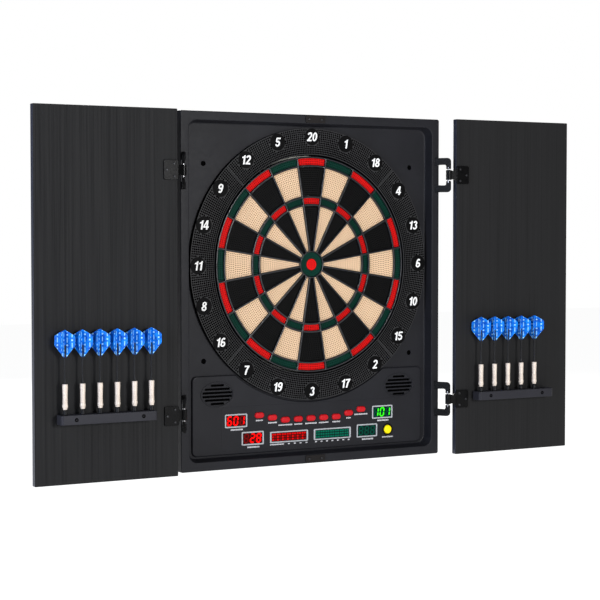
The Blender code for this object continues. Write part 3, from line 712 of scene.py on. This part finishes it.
def rear_cover():
    """The back panel with its keyholes and its sunk screws."""
    width, _, height = size("rear_cover")
    front, back = depths("rear_cover")

    def keyhole(side):
        def outline(inset):
            entry, slot = 0.0055 + inset, 0.0028 + inset
            start = asin(slot / entry) * 180 / pi
            return (arc((side * 0.15, 0.2), entry, 90 + start, 450 - start, 20)
                    + arc((side * 0.15, 0.213), slot, 0, 180, 10))
        return outline

    across, up = width / 2 - 0.009, height / 2 - 0.009
    at = [(x, z) for x in (-across, 0, across) for z in (-up, up)]
    at += [(x, z) for x in (-across, across) for z in (-up / 3, up / 3)]
    # its outer face is at the back, so the profile starts there
    profile = [(inset, back - drop + front) for inset, drop in rounded(front, back, 0.0006)[:-1]]
    panel = moulded(lambda inset: rectangle((0, 0), width - 2 * inset, height - 2 * inset, 0.001),
                    profile + [(0.0, front)], [keyhole(side) for side in SIDES.values()],
                    [(circle(place, 0.0038, 24), back - 0.0013) for place in at])
    piece("back_panel", panel,
          BACK_PLASTIC, stands_for=["rear_cover"])
    places = [Vector((x, FACE_Y + back - 0.0006, z)) for x, z in at]
    facing_back = Matrix.Rotation(pi, 4, "Z") @ Matrix.Translation((0, 0.0008, 0))
    screws("back_screws", places, 0.003, turn=facing_back, finish=ROD_STEEL)


def number_ring():
    """Four perforated quarter rings with their number bosses, and the numbers."""
    seam = 0.06
    front, back = depth_of("number_ring_top"), RECESS_DEPTH - 0.0003
    bosses = [polar(NUMBER_RADIUS, i * SECTOR) for i in range(SECTORS)]
    rows = [0.176 + HOLE_PITCH * k for k in range(12)]
    for name, middle_turn in {"top": 0, "right": 90, "bottom": 180, "left": 270}.items():
        start, end = middle_turn - 45 + seam, middle_turn + 45 - seam

        def outline(inset, start=start, end=end):
            lean = inset / NUMBER_RING_OUTER * 180 / pi
            return band(NUMBER_RING_INNER + inset, NUMBER_RING_OUTER - inset, start + lean, end - lean, 90)

        pits = []
        for radius in rows:
            for column in range(-44, 45):
                at = polar(radius, radians(middle_turn + column))
                if min(hypot(at[0] - x, at[1] - z) for x, z in bosses) > NUMBER_BOSS + 0.0009:
                    pits.append((circle(at, 0.0015, 8), front + 0.003))
        ring = moulded(outline, rounded(front, back, 0.0005, 2), pits=pits)
        # Faces more than 0.4 mm behind the ring's front, the hole walls and floors among them, get near
        # black: painted shade.
        piece(f"number_ring_quarter_{name}", ring, RING_TOP, stands_for=[f"number_ring_{name}"],
              sunk=(PAINTED_SHADE_AND_SCREW_BLACK, front + 0.0004))
    discs = Shape()
    for at in bosses:
        discs.add(moulded(disc(at, NUMBER_BOSS, 48), rounded(front - 0.0009, front + 0.001, 0.0005)))
    piece("number_bosses", discs, RING_PLASTIC)
    numerals(bosses, front - 0.0009)


def ribbon(path, width):
    """The outline of a band of one width along a path of points."""
    sides = ([], [])
    for i, (x, z) in enumerate(path):
        (x0, z0), (x1, z1) = path[max(i - 1, 0)], path[min(i + 1, len(path) - 1)]
        length = hypot(x1 - x0, z1 - z0)
        across, up = -(z1 - z0) / length * width / 2, (x1 - x0) / length * width / 2
        sides[0].append((x + across, z + up))
        sides[1].append((x - across, z - up))
    return sides[0] + sides[1][::-1]


# A digit's strokes, in units of its height: each is an outline, with the outline of its hole if it
# has one.
LOOP = [ellipse((0, -0.195), 0.6, 0.61, 32), ellipse((0, -0.195), 0.23, 0.27, 24)]
TAIL = [ribbon(oval_arc((0.02, -0.02), 0.43, 0.88, 185, 48), 0.185)]
STROKES = {
    0: [[ellipse((0, 0), 0.6, 1.0, 40), ellipse((0, 0), 0.22, 0.66, 32)]],
    1: [[[(0.0, -0.5), (0.2, -0.5), (0.2, 0.5), (0.06, 0.5), (-0.03, 0.36), (-0.19, 0.31),
          (-0.19, 0.17), (0.0, 0.18)]]],
    2: [[ribbon(oval_arc((0, 0.2), 0.42, 0.43, 172, -32) + [(-0.19, -0.42)], 0.185)],
        [ribbon([(-0.29, -0.415), (0.3, -0.415)], 0.17)]],
    3: [[ribbon(oval_arc((-0.01, 0.235), 0.38, 0.36, 165, -85), 0.175)],
        [ribbon(oval_arc((0, -0.205), 0.43, 0.42, 85, -165), 0.18)]],
    4: [[ribbon([(0.08, 0.47), (-0.27, -0.17)], 0.16)], [ribbon([(-0.33, -0.215), (0.33, -0.215)], 0.165)],
        [ribbon([(0.12, -0.5), (0.12, 0.5)], 0.19)]],
    5: [[ribbon([(-0.2, 0.415), (0.28, 0.415)], 0.17)], [ribbon([(-0.165, 0.44), (-0.205, 0.02)], 0.15)],
        [ribbon(oval_arc((-0.01, -0.165), 0.44, 0.49, 138, -160), 0.185)]],
    6: [LOOP, TAIL],
    7: [[ribbon([(-0.28, 0.415), (0.3, 0.415)], 0.17)],
        [ribbon([(0.21, 0.4), (0.02, 0.05), (-0.07, -0.5)], 0.2)]],
    8: [[ellipse((0, 0.245), 0.53, 0.51, 32), ellipse((0, 0.25), 0.19, 0.2, 20)],
        [ellipse((0, -0.215), 0.6, 0.57, 32), ellipse((0, -0.215), 0.23, 0.24, 20)]],
    9: [[[(-x, -z) for x, z in outline] for outline in stroke] for stroke in (LOOP, TAIL)],
}


def numerals(places, depth):
    """The twenty numbers, upright and a little slanted, each stroke a hair behind the one before."""
    height, lean, width, narrow = 0.014, 0.16, 0.66, 0.52
    shape = Shape()
    for number, at in zip(NUMBERS, places):
        digits = [int(character) for character in str(number)]
        widths = [narrow if value == 1 else width for value in digits]
        across = -sum(widths) / 2
        for value, advance in zip(digits, widths):
            for layer, stroke in enumerate(STROKES[value]):
                outline, *holes = [[(at[0] + (across + advance / 2 + x + lean * z) * height,
                                     at[1] + z * height) for x, z in points] for points in stroke]
                front = depth - 0.0003 + 0.00004 * layer
                shape.add(moulded(outline, [(0, front), (0, depth + 0.0001)], holes))
            across += advance
    piece("ring_numbers", shape, NUMBER_INK, sharp=40)


def catch_plates():
    for end in ("top", "bottom"):
        node = f"door_magnet_{end}"
        front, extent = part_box(node)[0].y, size(node)
        x, z = place_of(node)
        piece(f"catch_plate_{end}", moulded(slab((x, z), extent.x, extent.z, 0.002),
                                            rounded(*depths(node), 0.0004)),
              CATCH_STEEL, stands_for=[node])
        screws(f"catch_screws_{end}", [Vector((x + across, front, z)) for across in (-0.0115, 0.0115)],
               0.0022)


# ---- target
def web():
    """The raised web that holds the scoring pads apart."""
    centre = (0, BOARD_Z)
    holes = [field(number, low, high, WEB_WIDTH / 2, steps, GROWS)
             for low, high, steps in SCORE_RINGS.values() for number in range(SECTORS)]
    holes.append(disc(centre, BULL_HOLE, 48, GROWS))
    piece("target_web", moulded(disc(centre, size("spider").x / 2, 160), rounded(*depths("spider"), 0.0007),
                                holes), WEB_PLASTIC, stands_for=["spider"])


def pad_holes(sector, low, high):
    """Concentric rows of small holes that fill a pad to its edges."""
    margin, radius = 0.0019, 0.00095
    rows = max(1, int((high - low - 2 * margin) / HOLE_PITCH + 0.5) + 1)
    pitch = (high - low - 2 * margin) / max(1, rows - 1)
    places = []
    for k in range(rows):
        at = low + margin + k * pitch if rows > 1 else (low + high) / 2
        reach = at * half_angle(at, WEB_WIDTH / 2 + PAD_CLEARANCE) - margin + 0.0003
        count = int(2 * reach / HOLE_PITCH) + 1 if reach > 0 else 0
        places += [polar(at, sector * SECTOR + (i - (count - 1) / 2) * HOLE_PITCH / at)
                   for i in range(count)]
    return [(circle(at, radius, 8), PAD_FRONT + 0.002) for at in places]


def pads():
    """The scoring pads: black and cream singles, red and green doubles and trebles."""
    colours = {"single": ("black", "cream"), "other": ("red", "green")}
    for ring, (inner, outer, steps) in SCORE_RINGS.items():
        low, high = inner + PAD_CLEARANCE, outer - PAD_CLEARANCE
        for parity, colour in enumerate(colours["single" if "single" in ring else "other"]):
            shape = Shape()
            for sector in range(parity, SECTORS, 2):
                shape.add(moulded(field(sector, low, high, WEB_WIDTH / 2 + PAD_CLEARANCE, steps),
                                  rounded(PAD_FRONT, PAD_BACK, 0.0005), pits=pad_holes(sector, low, high)))
            # Faces behind the pad's front, the hole walls and floors among them, get a darker copy of the
            # pad colour: painted shade.
            piece(f"{ring}_{colour}", shape, PADS[colour], ring, stands_for=[ring] if parity == 0 else (),
                  sunk=(PAINTED_PIT_SHADE[colour], PAD_FRONT + 0.0007))


def bulls():
    """The bullseye: a green collar of small holes round a red button."""
    centre = (0, BOARD_Z)
    front, floor = depth_of("outer_bull"), depth_of("outer_bull") + 0.0012
    pits = [(circle(polar(radius, 2 * pi * i / count), 0.0008, 8), floor)
            for radius, count in ((0.0122, 18), (0.0152, 24)) for i in range(count)]
    collar = moulded(disc(centre, BULL_HOLE - PAD_CLEARANCE, 64), rounded(front, PAD_BACK, 0.0006),
                     [disc(centre, INNER_BULL + PAD_CLEARANCE, 48, GROWS)], pits)
    for radius in (10.8, 17.4):
        ring = turned([(radius - 0.5, -0.3), (radius - 0.3, 0.4), (radius + 0.3, 0.4), (radius + 0.5, -0.3)],
                      64, closed=True)
        collar.add(ring, Matrix.Translation((0, front, BOARD_Z)) @ FACING_FRONT)
    # The collar's holes and hidden walls get a darker green: painted shade.
    piece("bull_collar", collar, PADS["green"], "outer_bull", ["outer_bull"],
          sunk=(PAINTED_PIT_SHADE["green"], front + 0.0005))
    front = depth_of("inner_bull")
    pits = [(circle(polar(radius, 2 * pi * i / count), 0.0007, 8), front + 0.0012)
            for radius, count in ((0.0, 1), (0.0028, 6), (0.0056, 12)) for i in range(count)]
    # The button's holes get a darker red: painted shade.
    piece("bull_button", moulded(disc(centre, INNER_BULL, 48), rounded(front, PAD_BACK, 0.001), pits=pits),
          PADS["red"], "inner_bull", ["inner_bull"], sunk=(PAINTED_PIT_SHADE["red"], front + 0.0005))


# ---- displays, buttons and marks
LAMP_PROFILE = [(0, 0.014), (0, 0.01425)]
DIGIT_BARS = {0: "abcdef", 1: "bc", 2: "abged", 6: "acdefg", 8: "abcdefg"}


def bar(start, end, width):
    """A pointed bar between two points of a digit."""
    (x0, z0), (x1, z1) = start, end
    length = hypot(x1 - x0, z1 - z0)
    ux, uz = (x1 - x0) / length, (z1 - z0) / length
    gap, half = width * 0.12, width / 2
    return [(x0 + ux * a - uz * b, z0 + uz * a + ux * b) for a, b in (
        (gap, 0), (gap + half, half), (length - gap - half, half), (length - gap, 0),
        (length - gap - half, -half), (gap + half, -half))]


def digit(lit, unlit, centre, height, value):
    """Adds one seven-bar digit, its bars going to the lit or the unlit shape."""
    width, slant = height * 0.5, 0.12
    corners = {(i, k): (centre[0] + (i - 0.5) * width + slant * (k - 1) * height / 2,
                        centre[1] + (k - 1) * height / 2) for i in (0, 1) for k in (0, 1, 2)}
    ends = {"a": ((0, 2), (1, 2)), "b": ((1, 1), (1, 2)), "c": ((1, 0), (1, 1)), "d": ((0, 0), (1, 0)),
            "e": ((0, 0), (0, 1)), "f": ((0, 1), (0, 2)), "g": ((0, 1), (1, 1))}
    for key, (one, other) in ends.items():
        outline = bar(corners[one], corners[other], height * 0.18)
        shape = lit if value is not None and key in DIGIT_BARS[value] else unlit
        shape.add(moulded(outline, LAMP_PROFILE))


def display_frame(node, window, colour):
    at, extent, front = place_of(node), size(node), depth_of(node)
    surround = moulded(slab(at, extent.x, extent.z, 0.0016), rounded(front, front + 0.004, 0.0005),
                       [slab(at, *window, 0.0008, way=GROWS)])
    piece(f"{node}_frame", surround, FRAME_GREY, stands_for=[node])
    piece(f"{node}_window", moulded(rectangle(at, window[0] + 0.0006, window[1] + 0.0006, 0.0006),
                                    [(0.0, 0.0142), (0.0, 0.0168)]), WINDOWS[colour])


def lamps(node, lit, unlit, colour):
    for shape, key, state in ((lit, colour, "lit"), (unlit, f"dim_{colour}", "unlit")):
        if shape.points:
            piece(f"{node}_{state}_lamps", shape, LAMPS[key])


def score_displays():
    shown = {"score_display_player_1": ("red", (6, 0, 1)), "score_display_player_2": ("red", (None, 2, 8)),
             "score_display_player_3": ("green", (None, None, None)),
             "score_display_player_4": ("green", (1, 0, 1))}
    pitch, height = 0.011, 0.013
    for node, (colour, values) in shown.items():
        display_frame(node, (0.035, 0.017), colour)
        x, z = place_of(node)
        lit, unlit = Shape(), Shape()
        for i, value in enumerate(values):
            digit(lit, unlit, (x + (i - 1) * pitch, z), height, value)
        lamps(node, lit, unlit, colour)


def mark_displays():
    """Seven groups of three rows of small lamps."""
    for node, colour in zip(MARK_DISPLAYS, ("red", "green")):
        display_frame(node, (0.064, 0.014), colour)
        x, z = place_of(node)
        lit, unlit = Shape(), Shape()
        for group, row, part in product(range(7), range(3), range(2)):
            at = (x + (group - 3) * 0.009 + (part - 0.5) * 0.0042, z + (row - 1) * 0.0042)
            on = colour == "red" and (row == 2 or part == 0)
            (lit if on else unlit).add(moulded(rectangle(at, 0.0034, 0.0028, 0.0003), LAMP_PROFILE))
        lamps(node, lit, unlit, f"row_{colour}")


def button(node, outline, dish, finish):
    """A cap whose face is flat inside its dish, with a round shoulder."""
    front = depth_of(node)
    shoulder = [(inset + 0.0002, depth + 0.0003) for inset, depth in
                rounded(front, front + 0.006, 0.0016, 5)[:-1]]
    piece(f"{node}_cap", moulded(outline, [(dish, front)] + shoulder
                                 + [(0.0, front + 0.002), (0.0, front + 0.006)]),
          finish, node, [node], sharp=60)


def buttons():
    for node in OVAL_BUTTONS:
        button(node, oval(stadium, place_of(node), 0.0165, 0.0092), 0.0036, BUTTON_RED)
    at = place_of("start_button")
    button("start_button", disc(at, 0.0071, 40), 0.004, BUTTON_YELLOW)
    profile = rounded(FASCIA_FRONT - 0.0008, CONSOLE_FRONT, 0.0006)
    piece("start_button_ring", moulded(disc(at, 0.0098, 40), profile, [disc(at, 0.0075, 40, GROWS)]),
          HINGE_PLASTIC)


def marks():
    """Small printed dashes where the console carries captions: they spell nothing."""
    shape = Shape()
    dash, gap, plain, tall, short = 0.0013, 0.0005, 0.0023, 0.0028, 0.0031

    def caption(node, across, below, length, height=plain):
        x, z = place_of(node)
        count = max(2, round((length + gap) / (dash + gap)))
        for i in range(count):
            at = (x + across + (i - (count - 1) / 2) * (dash + gap), z - below)
            shape.add(moulded(rectangle(at, dash, height * (1.0, 0.8, 1.0, 0.9, 0.75)[i % 5], 0.0002, 1),
                              [(0, FASCIA_FRONT - 0.00008), (0, FASCIA_FRONT + 0.0002)]))

    for node, length in zip(OVAL_BUTTONS, (12, 15, 25, 14.5, 22, 18, 14.5, 9, 25)):
        caption(node, 0, 0.0081, length / 1000)
    for node in SCORE_DISPLAYS:
        caption(node, 0.001, 0.0138, 0.0215, tall)
    caption("mark_display_left", -0.022, 0.0114, 0.025)
    for i in range(4):
        caption("mark_display_left", -0.0006 + i * 0.0107, 0.0114, short)
    for i in range(7):
        caption("mark_display_right", (i - 3) * 0.0102, 0.0114, short)
    caption("start_button", 0, 0.0122, 0.0215)
    piece("console_marks", shape, INK)


# ---- doors, racks and darts
def door(side):
    node = f"{side}_door"
    extent = size(node)
    panel = piece(f"{side}_door_panel", moulded(
        slab(place_of(node), extent.x, extent.z, 0.0014), rounded(*depths(node), 0.0007, both=True)),
        DOOR_FOIL, f"{side}_door_body", [node])
    # Faces that don't face front or back take the edge band, whose lighter bluish colour is partly painted
    # sheen.
    panel.data.materials.append(DOOR_EDGE_SHEEN)
    for face in panel.data.polygons:
        face.material_index = int(abs(face.normal.y) < 0.3)


def dart_rack(side):
    """A round-cornered bar with six upright holes, screwed to its door."""
    node, body = f"{side}_dart_rack", f"{side}_door_body"
    low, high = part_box(node)
    at, extent = middle(node), size(node)
    first = middle(f"dart_{side}_1") - at
    holes = [disc((first.x + i * DART_PITCH, first.y), 0.0032, 24, GROWS) for i in range(6)]
    # the outline lies level, so the shape's depth is turned upright
    level = Matrix.Translation(at) @ Matrix(((1, 0, 0, 0), (0, 0, 1, 0), (0, -1, 0, 0), (0, 0, 0, 1)))
    piece(f"{side}_rack_bar", moulded(
        slab((0, 0), extent.x, extent.y, 0.004, 6),
        rounded(-extent.z / 2, extent.z / 2, 0.0008, both=True), holes),
        RACK_PLASTIC, body, [node], place=level)
    screws(f"{side}_rack_screws", [Vector((at.x + x, low.y + 0.0008, at.z)) for x in (-0.053, 0.053)],
           0.0031, body, finish=PAINTED_SHADE_AND_SCREW_BLACK)


def dart(side, index):
    """Soft tip, ringed barrel, shaft and a cross of four printed wings."""
    node = f"dart_{side}_{index}"
    axis = middle(node)
    upright = Matrix.Translation((axis.x, axis.y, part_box(f"{side}_dart_rack")[1].z))
    tip = turned([(0, 8.1), (2.3, 8.1), (2.4, 6.8), (3.0, 6.0), (3.5, 1.8), (3.5, 0.5), (3.1, 0.3),
                  (1.4, 0.3), (1.2, -6.0), (0.6, -12.8), (0, -13.2)], 20)
    piece(f"{node}_tip", tip, TIP_NYLON, node, place=upright)
    grooves = []
    for i in range(9):
        z, r = 38.5 - i * 2.5, 3.6 + 0.3 * abs(i - 5) / 5
        grooves += [(r, z), (r, z - 1.3), (r - 0.25, z - 1.6), (r - 0.25, z - 2.2)]
    barrel = turned([(0, 44.7), (3.5, 44.7), (3.9, 44.3), (3.9, 40.0), *grooves, (3.8, 15.5), (4.1, 14.0),
                     (4.1, 11.8), (3.3, 10.0), (3.3, 8.4), (3.0, 8.0), (0, 8.0)], 28)
    piece(f"{node}_barrel", barrel, BARREL_METAL, node, [node], place=upright, sharp=40)
    shaft = turned([(0, 101.0), (1.2, 101.0), (1.9, 99.0), (2.0, 80.0), (1.6, 79.0), (1.4, 65.0),
                    (1.6, 50.0), (2.1, 48.0), (2.1, 44.6), (0, 44.6)], 16)
    piece(f"{node}_shaft", shaft, SHAFT_NYLON, node, place=upright)

    wing, bottom, top = 0.016, 0.0817, 0.1228
    outline = [(0.0008, bottom), (0.008, bottom + 0.009), (0.0151, bottom + 0.0178),
               (wing, bottom + 0.02), (wing, top - 0.01), (wing - 0.0006, top - 0.0084),
               (0.0085, top - 0.004), (0.0006, top)]
    outline += [(-x, z) for x, z in reversed(outline)]
    cross_wings, places = Shape(), []
    vane = moulded(outline, [(0.0, -0.00015), (0.0, 0.00015)])
    for turn in (45, -45):
        places += vane.points
        cross_wings.add(vane, Matrix.Rotation(radians(turn), 4, "Z"))
    flight = piece(f"{node}_flight", cross_wings, FLIGHT_FILM, node, place=upright)
    wing_place = flight.data.attributes.new("wing_place", "FLOAT_VECTOR", "POINT")
    for item, place in zip(wing_place.data, places):
        item.vector = place


# ---- hinges
def hinge(side, level):
    """A C-shaped bracket with its rod on the case, and the leaf with its knuckle on the door."""
    bracket, leaf = f"hinge_bracket_{side}_{level}", f"hinge_leaf_{side}_{level}"
    body, way = f"{side}_door_body", SIDES[side]
    joint = next(j for j in frame["joints"] if j["child"] == body)
    pivot = Vector(joint["pos_m"]) * Vector((1, 1, 0)) + Vector((0, 0, middle(leaf).z))
    foot = Vector((way * 0.2294, FACE_Y, pivot.z))
    lean = pivot - foot
    reach = lean.length
    heel, outer, web_at = -0.0014, reach + 0.0036, reach - 0.004
    outside, inside, mouth = 0.028, 0.0168, 0.01

    def half(up):
        def outline(inset):
            big, small = 0.0062 - inset, 0.003 + inset
            points = [(heel + inset, inside - inset), (heel + inset, outside - inset)]
            points += arc((outer - 0.0062, outside - 0.0062), big, 90, 0, 6)
            points += [(outer - inset, mouth + inset), (web_at + inset, mouth + inset)]
            points += arc((web_at - 0.003, inside - 0.003), small, 0, 90, 5)
            return [(s, up * z) for s, z in points]
        return outline

    shape = Shape()
    for up in (1, -1):
        shape.add(moulded(half(up), rounded(-0.002, 0.002, 0.0007, 2, both=True)))
    turn = Matrix.Translation(foot) @ Matrix.Rotation(atan2(lean.y, lean.x), 4, "Z")
    piece(f"{bracket}_arm", shape, HINGE_PLASTIC, "cabinet", [bracket], turn)
    rod = turned([(0, 13.0), (1.9, 13.0), (2.2, 12.7), (2.2, -12.7), (1.9, -13.0), (0, -13.0)], 24)
    piece(f"{bracket}_rod", rod, ROD_STEEL, place=Matrix.Translation(pivot))

    low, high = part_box(leaf)
    edge_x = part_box(f"{side}_door")[1 if way < 0 else 0].x
    far_x = low.x if way < 0 else high.x
    face_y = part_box(f"{side}_door")[0].y - 0.0003
    thick = 0.002
    plate_at = ((edge_x - way * 0.0005 + far_x) / 2, pivot.z)
    plate_wide = abs(far_x - edge_x) + 0.0005
    plate = moulded(slab(plate_at, plate_wide, 0.0294, 0.0025), rounded(face_y - thick, face_y, 0.0005))
    start = pivot + Vector((way * 0.0034, -0.0012, 0))
    end = Vector((edge_x + way * 0.003, face_y - thick / 2, pivot.z))
    run = end - start
    neck = moulded(lambda inset: [(0, 0.0078 - inset), (run.length * 0.35, 0.0068 - inset),
                                  (run.length, 0.014 - inset), (run.length, inset - 0.014),
                                  (run.length * 0.35, inset - 0.0068), (0, inset - 0.0078)],
                   rounded(-thick / 2, thick / 2, 0.0004, 2, both=True))
    knuckle = turned([(2.6, 8.0), (4.2, 8.0), (4.6, 7.6), (4.6, -7.6), (4.2, -8.0), (2.6, -8.0)], 36,
                     closed=True)
    plate.add(neck, Matrix.Translation(start) @ Matrix.Rotation(atan2(run.y, run.x), 4, "Z"))
    plate.add(knuckle, Matrix.Translation(pivot))
    piece(f"{leaf}_plate", plate, HINGE_PLASTIC, body, [leaf], place=Matrix())
    places = [Vector((edge_x + way * along, face_y - thick, pivot.z + up))
              for along, up in ((0.006, 0.0095), (0.006, -0.0095), (0.0185, 0.0))]
    screws(f"{leaf}_screws", places, 0.0021, body)


# ---- what the case holds
def inner_parts():
    """The CAD nodes whose own shape shows, or is hidden inside: they get their materials."""
    looks = {"sensor_membrane": MEMBRANE, "target_back_plate": RING_PLASTIC,
             "main_circuit_board": BOARD_GREEN, "speaker_left": CONE_PAPER, "speaker_right": CONE_PAPER,
             "power_socket": HINGE_PLASTIC}
    for name, finish in looks.items():
        materials = frame["nodes"][name].data.materials
        materials.clear()
        materials.append(finish)


# ---- stage, light and camera
def stage():
    reach = 6.0
    mesh = bpy.data.meshes.new("studio_floor")
    mesh.from_pydata([(-reach, -reach, 0), (reach, -reach, 0), (reach, reach, 0), (-reach, reach, 0)], [],
                     [(0, 1, 2, 3)])
    obj = place_in_scene("studio_floor", mesh)
    obj.location.z = CAD_BOX[0].z - 0.12
    mesh.materials.append(plastic("floor", (0.3, 0.3, 0.3), 0.9, variation=0.01,
                                  Emission_Color=(1, 1, 1, 1), Emission_Strength=0.95))

    world = bpy.data.worlds.new("studio")
    bpy.context.scene.world = world
    world.use_nodes = True
    tree = world.node_tree
    backdrop, light = tree.nodes["Background"], tree.nodes.new("ShaderNodeBackground")
    fill_in(backdrop, Color=(1, 1, 1, 1), Strength=1.0)
    fill_in(light, Color=(0.96, 0.98, 1.0, 1), Strength=0.06)
    seen = tree.nodes.new("ShaderNodeLightPath")
    mix = tree.nodes.new("ShaderNodeMixShader")
    tree.links.new(seen.outputs["Is Camera Ray"], mix.inputs["Fac"])
    tree.links.new(light.outputs["Background"], mix.inputs[1])
    tree.links.new(backdrop.outputs["Background"], mix.inputs[2])
    tree.links.new(mix.outputs["Shader"], tree.nodes["World Output"].inputs["Surface"])


def soft_light(name, place, width, height, watts, colour=(1, 1, 1)):
    """An oblong light that faces the part's origin."""
    data = bpy.data.lights.new(name, "AREA")
    data.shape = "RECTANGLE"
    data.size, data.size_y, data.energy, data.color = width, height, watts, colour
    obj = place_in_scene(name, data)
    obj.location = place
    obj.rotation_euler = (-Vector(place)).to_track_quat("-Z", "Y").to_euler()


def lights():
    soft_light("key", (0.45, -2.9, 0.35), 0.6, 0.6, 50)
    soft_light("left_box", (-2.3, -0.75, 0.25), 0.4, 1.6, 38, (0.74, 0.82, 1.0))
    soft_light("top_box", (0.2, -0.9, 2.4), 1.6, 1.0, 6)
    soft_light("back_box", (0.9, 2.6, 0.7), 0.8, 0.8, 30)


def camera():
    data = bpy.data.cameras.new("camera")
    data.sensor_width = 36.0
    data.lens = 104.49
    obj = place_in_scene("camera", data)
    obj.location = (-1.3961, -2.4198, 0.0971)
    obj.rotation_euler = (radians(90 - 2.364), 0, radians(-30))
    bpy.context.scene.camera = obj
    bpy.context.scene.view_settings.view_transform = "Standard"


camera()
stage()
lights()
case_front()
console()
rear_cover()
number_ring()
catch_plates()
web()
pads()
bulls()
score_displays()
mark_displays()
buttons()
marks()
inner_parts()
for side_name in SIDES:
    door(side_name)
    dart_rack(side_name)
    for dart_index in range(1, DARTS[side_name] + 1):
        dart(side_name, dart_index)
    for level_name in LEVELS:
        hinge(side_name, level_name)
